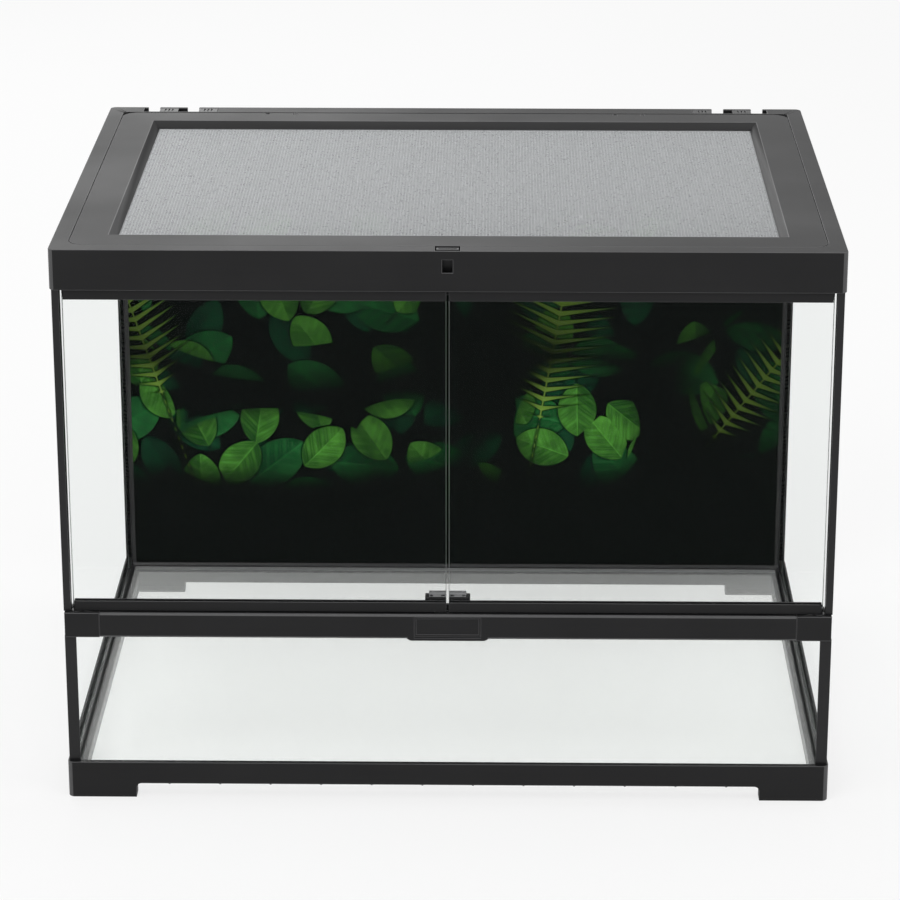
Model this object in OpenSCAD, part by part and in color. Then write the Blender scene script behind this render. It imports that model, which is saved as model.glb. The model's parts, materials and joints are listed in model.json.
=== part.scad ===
// Front-opening glass reptile terrarium: a glass tank in a moulded base and top frame, two hinged
// glass doors over a ventilated sill, a hinged wire-mesh lid, closable cable inlets and a swing bracket.
// X is the width, the doors face -Y, and Z is up from the surface that the feet stand on.

/* [Overall] */
// Width over the base and top frames
body_w = 600; // [450:5:900]
// Depth over the base and top frames
body_d = 450; // [350:5:600]
// Height from the table to the top rim
body_h = 450; // [380:5:700]
// Radius of the frames' upright corners
corner_r = 5; // [3:0.5:8]

/* [Glass tank] */
// Thickness of every pane
glass_t = 4; // [3:0.5:5]
// Depth of the panes' faces behind the frames' faces, at the sides and the rear
pane_inset = 2; // [1.5:0.25:3]
// Depth of the doors and the front pane behind the frames' front face
front_setback = 5; // [4.5:0.25:6]
// Gap between the edges of neighbouring panes
pane_gap = 0.3; // [0.1:0.1:0.6]
// Width of the sealant beads in the inside corners
bead_w = 3.5; // [2:0.5:5]
// Wall of the thin trims on the panes' upright edges
trim_t = 0.8; // [0.6:0.1:1.2]
// Depth that the trims reach back along the panes
trim_leg = 8; // [6:0.5:12]
// Width of the lower front corner trims, seen from the front
corner_trim_w = 9; // [7:0.5:12]

/* [Base frame] */
// Height of the base frame
base_h = 30; // [26:1:40]
// Wall of the base frame's skirt
base_wall = 1.8; // [1.4:0.1:2]
// Height of the ledge that the panes stand on
ledge_z = 20; // [18:0.5:22]
// Thickness of that ledge
ledge_t = 2.4; // [2:0.2:4]
// Reach of the ledge past the panes' inner faces
ledge_w = 7; // [5:0.5:15]
// Depth of the stiffening lip under the ledge
ledge_lip_h = 7.6; // [4:0.2:8]
// Length of each foot along the frame
foot_l = 54; // [40:1:80]
// Width of the sole under each foot
foot_w = 12; // [8:1:20]
// Thickness of the sole
foot_t = 2; // [1.5:0.5:4]
// Rise of the skirt between the feet
arch_rise = 12; // [8:0.5:14]
// Radius of the arches' corners
arch_r = 4; // [2:0.5:6]
// Spacing of the ribs under the ledge
rib_pitch = 40; // [25:1:80]
// Thickness of each rib
rib_t = 1.6; // [1.2:0.1:3]

/* [Sill] */
// Height of the sill's underside
sill_z = 136.3; // [110:0.1:160]
// Height of the sill
sill_h = 20.5; // [19:0.5:26]
// Depth of the sill from the frames' front face
sill_d = 22; // [21:0.5:26]
// Wall of the sill
sill_wall = 2; // [1.6:0.1:2.2]
// Height of the sill's floor, which grips the front pane
sill_floor = 5.2; // [4.5:0.1:7]
// Depth that the front pane reaches into the sill
sill_grip = 3; // [2:0.25:3.5]
// Length of each end block
sill_end_w = 27; // [22:1:40]
// Chamfer along the sill's front edges
sill_chamfer = 1.5; // [0.5:0.1:1.8]
// Width of the finger lip in the middle of the sill
sill_lip_w = 63; // [50:1:90]
// Depth of that lip below the sill
sill_lip_h = 1.4; // [1:0.1:3]
// Length of each slot in the vent grille
vent_slot_l = 5.6; // [3:0.2:6]
// Width of each slot in the vent grille
vent_slot_w = 1.6; // [1:0.1:2.4]
// Spacing of those slots
vent_pitch = 5; // [4:0.5:10]
// Thickness of the vent grille
vent_t = 1.5; // [1:0.1:2]
// Height of the door stop on the vent grille
stop_h = 4.2; // [3:0.2:5]

/* [Lock] */
// Width of the flap over the lock
flap_w = 51; // [40:1:58]
// Thickness of the flap
flap_t = 1.5; // [1.2:0.1:1.6]
// Depth of the sunk blank panel on the flap
flap_sink = 0.3; // [0.2:0.1:0.5]
// Radius of the thumb wheel behind the flap
wheel_r = 9; // [7.6:0.1:9]
// Height of the thumb wheel
wheel_h = 11; // [9:0.5:11]
// Radius of its axle
wheel_axle_r = 1.5; // [1:0.1:1.5]
// Width of the bolt that rises into both doors
bolt_w = 24; // [20:1:28]
// Thickness of the bolt
bolt_t = 3.4; // [2.8:0.1:3.4]
// Travel of the bolt in a quarter turn of the wheel
bolt_lift = 3.2; // [2.6:0.1:3.2]

/* [Doors] */
// Gap between the two doors
door_gap = 2; // [1:0.5:4]
// Gap between a door and the trim beside it
door_side_gap = 1.8; // [1.2:0.1:4]
// Height of the strips along the doors' top and bottom edges
strip_h = 7.8; // [6.5:0.1:12]
// Thickness of the strips
strip_t = 6; // [5.6:0.1:6.6]
// Gap above and below a door
strip_clear = 0.7; // [0.6:0.1:1.5]
// Depth that the glass reaches into a strip
strip_grip = 4.2; // [3:0.1:6]
// Radius of the hinge pins
hinge_pin_r = 2; // [1.5:0.1:2.2]
// Length of the hinge pins
hinge_pin_l = 5.5; // [4:0.5:7]
// Outer radius of the hinge bushes
hinge_bush_r = 4; // [3.5:0.1:4.4]
// Width of the catch block on each door
catch_w = 16.2; // [12:0.2:24]
// Depth of the catch block's foot
catch_d = 8; // [6:0.5:9]
// Height of its foot
catch_foot_h = 3; // [2:0.2:5]
// Height of its upper step
catch_step_h = 3.4; // [2:0.2:6]
// Setback of the upper step at the side and the back
catch_step = 3; // [1:0.5:3.5]

/* [Top frame] */
// Height of the top frame
top_h = 31.8; // [28:0.2:40]
// Depth that the panes reach up into the top frame
pane_grip = 16; // [10:1:18]
// Width of the rim beside the lid
rim_side = 13; // [12:0.5:18]
// Width of the rim in front of the lid
rim_front = 14; // [14:0.5:18]
// Width of the rim behind the lid
rim_rear = 18; // [18:0.5:24]
// Depth of the recess that the lid lies in
recess_h = 8; // [7.5:0.25:10]
// Radius of the recess's corners
recess_r = 13.5; // [8:0.5:20]
// Width of the seat under the lid's edge
seat_w = 9; // [6:0.5:14]
// Thickness of the seat
seat_t = 2.4; // [2:0.2:4]

/* [Lid] */
// Gap round the lid at the sides and the front
lid_gap = 0.5; // [0.3:0.1:1]
// Gap behind the lid
lid_rear_gap = 1.5; // [1.2:0.1:2.5]
// Width of the lid's flat border
lid_border = 28; // [24:1:40]
// Thickness of the lid's top skin
lid_skin = 2.6; // [2:0.1:3.2]
// Thickness of the lid's outer wall
lid_wall = 2; // [1.6:0.1:3]
// Width of the bevel down to the mesh
bevel_w = 6; // [3:0.5:8]
// Width of the frame that clamps the mesh from below
clamp_w = 9.5; // [8:0.5:12]
// Thickness of the clamp frame
clamp_t = 2.2; // [1.6:0.2:3]
// Thickness of the wire mesh
mesh_t = 0.8; // [0.5:0.1:1.2]
// Distance of each lid hinge from the middle
lid_hinge_x = 150; // [100:5:180]
// Width of each hinge knuckle
knuckle_w = 20; // [12:1:30]
// Radius of the lid's hinge pins
lid_pin_r = 1.5; // [1.2:0.1:1.6]
// Radius of the clamp frame's screws
lid_screw_r = 1.25; // [1:0.05:1.25]

/* [Lid latch] */
// Width of the latch rocker
latch_w = 17; // [12:0.5:20]
// Width of the lid's tongue under the latch
tongue_w = 12; // [8:0.5:12]
// Radius of the latch pin
latch_pin_r = 1.5; // [1.2:0.1:1.6]
// Width of the latch window in the front face
latch_window_w = 8; // [5:0.5:12]

/* [Cable inlets] */
// Distance of the outer inlets from the frames' sides
inlet_side = 38; // [36:1:38]
// Spacing between the two inlets of a corner
inlet_pitch = 34; // [32:0.5:40]
// Width of each inlet
inlet_w = 10; // [8:0.5:11]
// Width of each sliding gate
gate_w = 16; // [14:0.5:16.5]
// Depth of the gates' track
track_h = 10; // [8:0.5:10.5]
// Gap round each gate
gate_gap = 0.3; // [0.2:0.1:0.5]

/* [Swing bracket] */
// Distance of the bracket's swivel from the middle
bracket_x = 110; // [60:5:110]
// Length of the bracket's plate
plate_l = 72; // [50:1:90]
// Width of the bracket's plate
plate_w = 16; // [14:0.5:18]
// Thickness of the bracket's plate
plate_t = 4; // [3:0.5:6]
// Length of the upper arm from plate to elbow
arm_upper_l = 76; // [60:1:90]
// Length of the middle arm between its elbows
arm_middle_l = 34; // [26:1:45]
// Length of the lower arm from elbow to clip
arm_lower_l = 30; // [26:1:40]
// Width of the arms
arm_w = 8; // [7:0.5:8.5]
// Thickness of the arms
arm_t = 7; // [6.6:0.2:8]
// Thickness of the tongue in each elbow
arm_tongue_t = 2.6; // [2:0.1:2.8]
// Radius of the elbow pins
elbow_pin_r = 1.5; // [1:0.1:1.6]
// Inner radius of the clip that holds a nozzle or a probe
clip_r = 5; // [4:0.25:6]
// Wall of the clip
clip_wall = 1.8; // [1.4:0.1:3]
// Length of the clip
clip_l = 14; // [10:1:20]

/* [Background] */
// Thickness of the background card
card_t = 1.2; // [0.8:0.1:1.6]
// Gap round the background card
card_gap = 0.5; // [0.3:0.1:0.6]

/* [Hidden] */

plastic = [0.17, 0.17, 0.18];
black = [0.08, 0.08, 0.09];
clear_glass = [0.80, 0.88, 0.87, 0.35];
steel = [0.70, 0.71, 0.72];

// Small lap that joins shapes of one solid, and the overcut that opens a face cleanly
lap = 0.1;
cut = 1;
// Play between faces that meet without being fixed
play = 0.2;
// Radial play of every pin that turns in its bore
run_fit = 0.05;
round_fn = 48;

half_w = body_w / 2;
half_d = body_d / 2;
// Outer and inner faces of the side and rear panes, and the front face of the doors and the front pane
pane_x = half_w - pane_inset;
pane_in_x = pane_x - glass_t;
pane_y = half_d - pane_inset;
pane_in_y = pane_y - glass_t;
glass_y = -half_d + front_setback;
glass_back_y = glass_y + glass_t;
floor_top = ledge_z + glass_t;

// The frames' corners, limited by the wall that is left behind the panes' square corners
corner_wall = 0.45;
frame_r = min(corner_r, (sqrt(2) * (pane_inset - play) - corner_wall) / (sqrt(2) - 1));

top_z = body_h - top_h;
pane_top = top_z + pane_grip;
sill_top = sill_z + sill_h;
sill_y = -half_d;
sill_back = sill_y + sill_d;
cavity_z = sill_z + sill_floor;
cavity_top = sill_top - sill_wall;
sill_half = pane_x - sill_end_w;

// The doors
trim_in_x = pane_in_x - trim_t;
door_out_x = trim_in_x - door_side_gap;
door_in_x = door_gap / 2;
hinge_x = door_out_x - strip_t / 2;
hinge_y = glass_y + glass_t / 2;
strip_y = hinge_y - strip_t / 2;
strip_back = hinge_y + strip_t / 2;
door_z = sill_top + strip_clear;
door_top = top_z - strip_clear;
door_glass_z = door_z + strip_h - strip_grip;
door_glass_top = door_top - strip_h + strip_grip;
keeper_x = door_in_x + bolt_w / 2 + 4;
stop_gap = 0.5;
stop_t = 1.3;
bush_flange_r = hinge_bush_r + 0.6;
bush_flange_t = 0.4;
bush_l = hinge_pin_l;
catch_gap = 0.3;
catch_screw_r = 1.1;

// The lock in the middle of the sill: flap, thumb wheel with its ramp, and the bolt with its foot
flap_gap = 0.3;
flap_barrel_r = flap_t - 0.2;
flap_pin_r = flap_barrel_r - 0.5;
flap_pin_l = 1.8;
flap_axis_y = sill_y + flap_barrel_r;
flap_axis_z = sill_z + flap_barrel_r + 1.3;
flap_top = cavity_top - 0.4;
flap_rim = 1.4;
wheel_gap = 0.4;
wheel_y = sill_back - sill_wall - wheel_r + 0.6;
wheel_z = sill_z + sill_grip + 0.5;
wheel_top = wheel_z + wheel_h;
wheel_grooves = 7;
groove_r = 0.6;
axle_foot = 2.6;
boss_r = wheel_axle_r + 1.1;
ramp_in_r = boss_r + 0.5;
ramp_out_r = ramp_in_r + 3.2;
ramp_top = wheel_top + bolt_lift + 0.3;
bolt_y = glass_y + glass_t / 2;
bolt_reach = wheel_y - bolt_y;
bolt_slack = 0.4;
bolt_foot_w = 2;
bolt_foot_z = wheel_top + 0.6;
bolt_bridge_z = ramp_top + play;
bolt_leg_w = 4;
bolt_rest_top = sill_top - 0.3;

// The lid's recess and the lid
recess_z = body_h - recess_h;
recess_x = half_w - rim_side;
recess_front = -half_d + rim_front;
recess_rear = half_d - rim_rear;
// Tighter than the lid's own corners, which swing back behind the hinge
recess_rear_r = 3;
under_seat = recess_z - seat_t;
pane_slot_in = 0.4;
pane_lip = 1.8;
bar_wall = 2;
bar_floor = 2.8;
bar_end = 24;

lid_x = recess_x - lid_gap;
lid_front = recess_front + lid_gap;
lid_rear = recess_rear - lid_rear_gap;
lid_z = recess_z + play;
lid_r = recess_r - lid_gap;
lid_w = 2 * lid_x;
lid_d = lid_rear - lid_front;
lid_mid_y = (lid_front + lid_rear) / 2;
open_w = lid_w - 2 * lid_border;
open_d = lid_d - 2 * lid_border;
mesh_z = recess_z + 1;
mesh_top = mesh_z + mesh_t;
mesh_tuck = 4.5;
clamp_open_w = open_w - 2 * bevel_w;
clamp_open_d = open_d - 2 * bevel_w;
clamp_out_w = clamp_open_w + 2 * clamp_w;
clamp_out_d = clamp_open_d + 2 * clamp_w;
clamp_z = mesh_z - clamp_t;
clamp_room = 2;
mesh_w = open_w - 2 * bevel_w + 2 * mesh_tuck;
mesh_d = open_d - 2 * bevel_w + 2 * mesh_tuck;
screw_inset = 2.4;
screw_head_r = 2.3;
screw_head_h = 1.4;
screw_depth = 3.2;
lid_axis_y = lid_rear - 2.2;
lid_axis_z = body_h - 2.5;
ear_t = 3;
ear_gap = 0.3;
ear_front = 3;
notch_front = 4.4;
rear_relief = 0.8;
relief_reach = 9;

// The latch rocker at the front edge of the lid
latch_y = recess_front - 3;
latch_z = body_h - 16;
latch_pocket_z = latch_z - 6;
latch_pocket_w = latch_w + 2;
latch_block_w = latch_pocket_w + 7;
nose_gap = 0.3;
tongue_l = 2.5;
tongue_front = lid_front - tongue_l;
tongue_z = recess_z + 0.4;
tongue_t = 2;
rocker_back = tongue_front - nose_gap;
pad_front = rocker_back - 6.5;
rocker_hub_r = latch_pin_r + 1.5;
spring_t = 0.4;
spring_w = 6;

// Cable inlets
inlet_x = half_w - inlet_side;
track_z = body_h - track_h;
track_front = recess_rear + 2.5;
track_back = half_d - 3;
gate_travel = 13.5;
drop_back = pane_in_y - pane_slot_in - pane_lip;

// Swing bracket under the rear seat
plate_y = recess_rear - 4;
plate_top = under_seat;
plate_z = plate_top - plate_t;
hub_r = 5.5;
hub_h = 8;
hub_gap = 0.3;
swivel_pin_r = 2;
swivel_head_r = 3.4;
swivel_head_h = 1.2;
elbow_r = arm_w / 2;
elbow_gap = 0.3;
elbow_z = plate_z - arm_upper_l;
elbow_lean = 45;
lower_x = bracket_x - arm_middle_l * sin(elbow_lean);
lower_z = elbow_z - arm_middle_l * cos(elbow_lean);
plate_screw_r = 1.5;
clip_peg_r = 1.5;
clip_peg_l = 6;
clip_gap = 0.3;

// Background card
card_back = pane_in_y - card_gap;
card_x = pane_in_x - bead_w - card_gap;
card_z = floor_top + bead_w;
card_top = top_z - card_gap;

// A box from its lowest to its highest corner
module block(lo, hi) {
    translate(lo) cube(hi - lo);
}

// A rectangle with round corners, centred
module rounded_rect(w, d, r) {
    square([w - 2 * r, d], center = true);
    square([w, d - 2 * r], center = true);
    for (sx = [-1, 1], sy = [-1, 1])
        translate([sx * (w / 2 - r), sy * (d / 2 - r)]) circle(r, $fn = round_fn);
}

// A centred plate with square corners between two heights
module plate(w, d, z0, z1) {
    translate([-w / 2, -d / 2, z0]) cube([w, d, z1 - z0]);
}

// A rounded rectangle as a slab between two heights
module slab(w, d, r, z0, z1) {
    translate([0, 0, z0]) linear_extrude(z1 - z0) rounded_rect(w, d, r);
}

// An upright post of round section
module post(x, y, z0, z1, r) {
    translate([x, y, z0]) cylinder(h = z1 - z0, r = r, $fn = round_fn);
}

// A round bar along X, centred on x
module bar_x(x, y, z, l, r) {
    translate([x - l / 2, y, z]) rotate([0, 90, 0]) cylinder(h = l, r = r, $fn = round_fn);
}

// A round bar along Y, centred on y
module bar_y(x, y, z, l, r) {
    translate([x, y - l / 2, z]) rotate([-90, 0, 0]) cylinder(h = l, r = r, $fn = round_fn);
}

// Draws its children on one side of the middle: -1 is the left, 1 the right
module side(s) {
    if (s > 0) children();
    else mirror([1, 0, 0]) children();
}

// Outline of the arch between two feet, as seen along the skirt
module arch_outline(l) {
    translate([-l / 2, -cut]) square([l, arch_rise - arch_r + cut]);
    translate([-l / 2 + arch_r, -cut]) square([l - 2 * arch_r, arch_rise + cut]);
    for (s = [-1, 1])
        translate([s * (l / 2 - arch_r), arch_rise - arch_r]) circle(arch_r, $fn = round_fn);
}

// Ribs at a pitch along a run, centred
module rib_row(run, lo, hi) {
    n = floor((run - rib_pitch) / rib_pitch / 2);
    for (i = [-n - 1 : n])
        translate([(i + 0.5) * rib_pitch, 0, 0])
            block([-rib_t / 2, lo, ledge_z - ledge_t - ledge_lip_h + 0.5],
                  [rib_t / 2, hi, ledge_z - ledge_t + lap]);
}

// Moulded base: skirt with feet and arches, the panes' ledge, its lip, ribs and soles
module base_frame() {
    ledge_x = pane_in_x - ledge_w;
    ledge_front = glass_back_y + ledge_w;
    ledge_rear = pane_in_y - ledge_w;
    ledge_mid = (ledge_front + ledge_rear) / 2;
    ledge_d = ledge_rear - ledge_front;
    lip_t = base_wall;
    lip_z = ledge_z - ledge_t - ledge_lip_h;
    color(plastic) {
        difference() {
            slab(body_w, body_d, frame_r, 0, base_h);
            slab(body_w - 2 * base_wall, body_d - 2 * base_wall, frame_r - base_wall, -cut, base_h + cut);
            block([-pane_x - play, 0, ledge_z], [pane_x + play, pane_y + play, base_h + cut]);
            rotate([90, 0, 0]) linear_extrude(body_d + 2 * cut, center = true)
                arch_outline(body_w - 2 * foot_l);
            rotate([90, 0, 90]) linear_extrude(body_w + 2 * cut, center = true)
                arch_outline(body_d - 2 * foot_l);
        }
        difference() {
            slab(body_w - 2 * base_wall + 2 * lap, body_d - 2 * base_wall + 2 * lap,
                 frame_r - base_wall + lap, ledge_z - ledge_t, ledge_z);
            block([-ledge_x, ledge_front, 0], [ledge_x, ledge_rear, base_h]);
        }
        translate([0, ledge_mid, 0]) difference() {
            block([-ledge_x - lip_t, -ledge_d / 2 - lip_t, lip_z],
                  [ledge_x + lip_t, ledge_d / 2 + lip_t, ledge_z - ledge_t + lap]);
            block([-ledge_x, -ledge_d / 2, 0], [ledge_x, ledge_d / 2, base_h]);
        }
        for (r = [[-half_d + base_wall - lap, ledge_front - lip_t + lap],
                  [ledge_rear + lip_t - lap, half_d - base_wall + lap]])
            rib_row(body_w - 2 * foot_l, r[0], r[1]);
        for (a = [90, -90])
            rotate([0, 0, a])
                rib_row(body_d - 2 * foot_l, ledge_x + lip_t - lap, half_w - base_wall + lap);
        block([-half_w + base_wall - lap, -half_d + base_wall - lap, ledge_z - lap],
              [half_w - base_wall + lap, glass_y - play, base_h]);
        for (sx = [-1, 1], sy = [-1, 1])
            mirror([sx < 0 ? 1 : 0, 0, 0]) mirror([0, sy < 0 ? 1 : 0, 0]) foot();
    }
}

// Flat L-shaped sole under one corner, with the webs that close the foot's two ends
module foot() {
    inside_x = half_w - base_wall + lap;
    inside_y = half_d - base_wall + lap;
    web_top = ledge_z - ledge_t + lap;
    block([half_w - foot_l, half_d - foot_w, 0], [inside_x - frame_r, inside_y, foot_t]);
    block([half_w - foot_w, half_d - foot_l, 0], [inside_x, inside_y - frame_r, foot_t]);
    post(inside_x - frame_r, inside_y - frame_r, 0, foot_t, frame_r);
    block([half_w - foot_l, half_d - foot_w, 0], [half_w - foot_l + rib_t, inside_y, web_top]);
    block([half_w - foot_w, half_d - foot_l, 0], [inside_x, half_d - foot_l + rib_t, web_top]);
}

module floor_glass() {
    color(clear_glass)
        block([-pane_in_x + pane_gap, glass_back_y + pane_gap, ledge_z],
              [pane_in_x - pane_gap, pane_in_y - pane_gap, floor_top]);
}

module front_glass() {
    color(clear_glass)
        block([-pane_in_x + pane_gap, glass_y, ledge_z],
              [pane_in_x - pane_gap, glass_back_y, sill_z + sill_grip]);
}

module side_glass(s) {
    color(clear_glass) side(s)
        block([pane_in_x, glass_y, ledge_z], [pane_x, pane_y, pane_top]);
}

module rear_glass() {
    color(clear_glass)
        block([-pane_in_x + pane_gap, pane_in_y, ledge_z], [pane_in_x - pane_gap, pane_y, pane_top]);
}

// Section of a sealant bead in a right corner whose two faces run along +X and +Y
module bead_outline() {
    polygon([[0, 0], [bead_w, 0], [0, bead_w]]);
}

// Beads round the floor pane, in the corner with the upright panes
module floor_sealant() {
    len_x = 2 * pane_in_x - 2 * pane_gap;
    len_y = pane_in_y - glass_back_y;
    color(black) {
        for (s = [-1, 1]) side(s)
            translate([pane_in_x, pane_in_y, floor_top]) rotate([90, 0, 0])
                linear_extrude(len_y) mirror([1, 0]) bead_outline();
        translate([-len_x / 2, pane_in_y, floor_top]) rotate([90, 0, 90])
            linear_extrude(len_x) mirror([1, 0]) bead_outline();
        translate([-len_x / 2, glass_back_y, floor_top]) rotate([90, 0, 90])
            linear_extrude(len_x) bead_outline();
    }
}

// Upright beads in the four inside corners, the front ones only as high as the front pane
module corner_sealant() {
    z0 = floor_top + bead_w;
    color(black) for (s = [-1, 1]) side(s) {
        translate([pane_in_x, pane_in_y, z0]) rotate([0, 0, 180])
            linear_extrude(top_z - z0) bead_outline();
        translate([pane_in_x, glass_back_y, z0]) rotate([0, 0, 90])
            linear_extrude(sill_z - z0) bead_outline();
    }
}

// Channel over a side pane's front edge, from the sill to the top frame
module edge_trim(s) {
    color(black) side(s) difference() {
        block([trim_in_x, glass_y - trim_t, sill_top], [pane_x + trim_t, glass_y + trim_leg, top_z]);
        block([pane_in_x, glass_y, sill_top - cut], [pane_x, glass_y + trim_leg + cut, top_z + cut]);
    }
}

// Angle over the corner of the front pane and a side pane, from the base to the sill
module front_corner_trim(s) {
    color(black) side(s) difference() {
        block([pane_x + trim_t - corner_trim_w, glass_y - trim_t, base_h],
              [pane_x + trim_t, glass_y + trim_leg, sill_z]);
        block([0, glass_y, base_h - cut], [pane_x, glass_y + trim_leg + cut, sill_z + cut]);
    }
}

// Angle over the corner of the rear pane and a side pane, from the base to the top frame
module rear_corner_trim(s) {
    color(black) side(s) difference() {
        block([pane_x + trim_t - corner_trim_w, pane_y - trim_leg, base_h],
              [pane_x + trim_t, pane_y + trim_t, top_z]);
        block([0, pane_y - trim_leg - cut, base_h - cut], [pane_x, pane_y, top_z + cut]);
    }
}

// Section of the sill seen from its end, with chamfers c along its front edges
module sill_outline(c) {
    polygon([[sill_y + c, sill_z], [sill_back, sill_z], [sill_back, sill_top],
             [sill_y + c, sill_top], [sill_y, sill_top - c], [sill_y, sill_z + c]]);
}

// A stretch of the sill's section along X
module sill_run(x0, x1, c) {
    translate([x0, 0, 0]) rotate([90, 0, 90]) linear_extrude(x1 - x0) sill_outline(c);
}

// Groove in the sill's floor that the front pane's top edge stands in
module pane_groove(x0, x1) {
    block([x0, glass_y - play, sill_z - cut], [x1, glass_back_y + play, sill_z + sill_grip + play]);
}

// Finger lip under the middle of the sill, chamfered at both ends
module finger_lip() {
    lip_d = 3.2;
    x = sill_lip_w / 2;
    translate([0, sill_y + lip_d, sill_z]) rotate([90, 0, 0]) linear_extrude(lip_d)
        polygon([[-x, sill_chamfer + lap], [-x, 0], [-x + 2 * sill_lip_h, -sill_lip_h],
                 [x - 2 * sill_lip_h, -sill_lip_h], [x, 0], [x, sill_chamfer + lap]]);
}

// Everything that the lock takes out of the sill: flap seat, wheel pocket, axle bores and bolt slot
module lock_cuts() {
    seat_x = flap_w / 2 + flap_gap;
    block([-seat_x, sill_y - cut, flap_axis_z - flap_barrel_r - flap_gap],
          [seat_x, flap_axis_y + flap_barrel_r + play, flap_top + flap_gap]);
    bar_x(0, flap_axis_y, flap_axis_z, 2 * (seat_x + flap_pin_l), flap_pin_r + run_fit);
    post(0, wheel_y, wheel_z - wheel_gap, wheel_top + wheel_gap, wheel_r + wheel_gap);
    post(0, wheel_y, wheel_top, sill_top + cut, wheel_axle_r + run_fit);
    post(0, wheel_y, wheel_z - axle_foot, wheel_z, wheel_axle_r + run_fit);
    block([-bolt_w / 2 - play, bolt_y - bolt_t / 2 - play, wheel_top],
          [bolt_w / 2 + play, bolt_y + bolt_t / 2 + play, sill_top + cut]);
}

// Hollow middle length of the sill, with the lock's pocket, the finger lip and the air ways
module sill_rail() {
    x = sill_half - play;
    vent_x = sill_half - 20;
    vent_front = strip_back + stop_gap + stop_t + 0.6;
    vent_bridge = 14;
    intake_l = 30;
    intake_pitch = 44;
    intake_n = floor((sill_half - sill_lip_w / 2 - intake_l) / intake_pitch);
    color(plastic) difference() {
        union() {
            difference() {
                sill_run(-x, x, sill_chamfer);
                block([-x - cut, sill_y + sill_wall, cavity_z], [x + cut, sill_back - sill_wall, cavity_top]);
            }
            finger_lip();
            post(0, wheel_y, wheel_top + wheel_gap, cavity_top + lap, boss_r);
        }
        pane_groove(-x - cut, x + cut);
        lock_cuts();
        for (s = [-1, 1]) side(s) {
            for (i = [0 : intake_n - 1])
                translate([sill_lip_w / 2 + 8 + i * intake_pitch, 0, 0])
                    block([0, sill_y + sill_wall, sill_z - cut],
                          [intake_l, glass_y - play - 1.2, cavity_z + cut]);
            block([vent_bridge, vent_front, cavity_top - cut], [vent_x, sill_back - 3, sill_top + cut]);
        }
    }
}

// End block of the sill: it carries the lower hinge bush and wraps the side pane's edge
module sill_end(s) {
    color(plastic) side(s) difference() {
        sill_run(sill_half, pane_x, 0.4);
        pane_groove(sill_half - cut, pane_in_x);
        block([pane_in_x - play, glass_y - play, sill_z - cut],
              [pane_x + cut, sill_back + cut, sill_top + cut]);
        block([sill_half - cut, sill_y + sill_wall, cavity_z],
              [hinge_x - hinge_bush_r - 2, sill_back - sill_wall, cavity_top]);
        post(hinge_x, hinge_y, sill_top - bush_l, sill_top + cut, hinge_bush_r);
    }
}

// Slotted strip behind the doors, with the lip that they close against
module vent_grille() {
    x = sill_half - 16;
    stop_y = strip_back + stop_gap;
    slots = floor((2 * x - 20) / vent_pitch);
    slot_y = stop_y + stop_t + 1.2;
    color(plastic) difference() {
        union() {
            block([-x, stop_y, sill_top], [x, sill_back - 1, sill_top + vent_t]);
            block([-x, stop_y, sill_top], [x, stop_y + stop_t, sill_top + stop_h]);
        }
        for (i = [0 : slots - 1])
            translate([(i - (slots - 1) / 2) * vent_pitch, slot_y, sill_top])
                block([-vent_slot_w / 2, 0, -cut], [vent_slot_w / 2, vent_slot_l, vent_t + cut]);
    }
}

// One flanged bush round a door pin, with its flange facing up
module hinge_bush() {
    difference() {
        union() {
            post(0, 0, -bush_l, 0, hinge_bush_r);
            post(0, 0, 0, bush_flange_t, bush_flange_r);
        }
        post(0, 0, -bush_l - cut, bush_flange_t + cut, hinge_pin_r + run_fit);
    }
}

// Four bushes: two in the sill's ends and two in the top frame
module hinge_bushes() {
    color(black) for (s = [-1, 1]) {
        translate([s * hinge_x, hinge_y, sill_top]) hinge_bush();
        translate([s * hinge_x, hinge_y, top_z]) mirror([0, 0, 1]) hinge_bush();
    }
}

// Blank flap over the lock: a thin plate with a sunk panel, a hinge barrel and two short pins
module lock_flap() {
    x = flap_w / 2;
    color(plastic) difference() {
        union() {
            block([-x, sill_y, flap_axis_z], [x, sill_y + flap_t, flap_top]);
            bar_x(0, flap_axis_y, flap_axis_z, flap_w, flap_barrel_r);
            bar_x(0, flap_axis_y, flap_axis_z, flap_w + 2 * flap_pin_l, flap_pin_r);
        }
        block([-x + flap_rim, sill_y - cut, flap_axis_z + flap_rim],
              [x - flap_rim, sill_y + flap_sink, flap_top - flap_rim]);
    }
}

// Turns its children about the upright axis through (0, y)
module rotate_about(y, a) {
    translate([0, y, 0]) rotate([0, 0, a]) translate([0, -y, 0]) children();
}

// Thumb wheel of the door lock, grooved for grip, with its axle and the bolt's ramp
module lock_wheel() {
    color(black) difference() {
        union() {
            post(0, wheel_y, wheel_z, wheel_top, wheel_r);
            post(0, wheel_y, wheel_top - lap, sill_top - 0.4, wheel_axle_r);
            post(0, wheel_y, wheel_z - axle_foot + play, wheel_z + lap, wheel_axle_r);
            bolt_ramp();
        }
        for (i = [0 : wheel_grooves - 1])
            rotate_about(wheel_y, (i - (wheel_grooves - 1) / 2) * 15)
                post(0, wheel_y - wheel_r, wheel_z - cut, wheel_top + cut, groove_r);
    }
}

// Ring with a sloping top, highest at the back left, which a quarter turn brings under the bolt's foot
module bolt_ramp() {
    slope = atan(bolt_lift / (sqrt(2) * bolt_reach));
    slice = 4 * ramp_out_r;
    difference() {
        post(0, wheel_y, wheel_top - lap, ramp_top, ramp_out_r);
        post(0, wheel_y, wheel_top - cut, ramp_top + cut, ramp_in_r);
        translate([0, wheel_y, wheel_top + bolt_lift / 2]) rotate([0, 0, 135]) rotate([0, -slope, 0])
            translate([-slice / 2, -slice / 2, 0]) cube(slice);
    }
}

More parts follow.
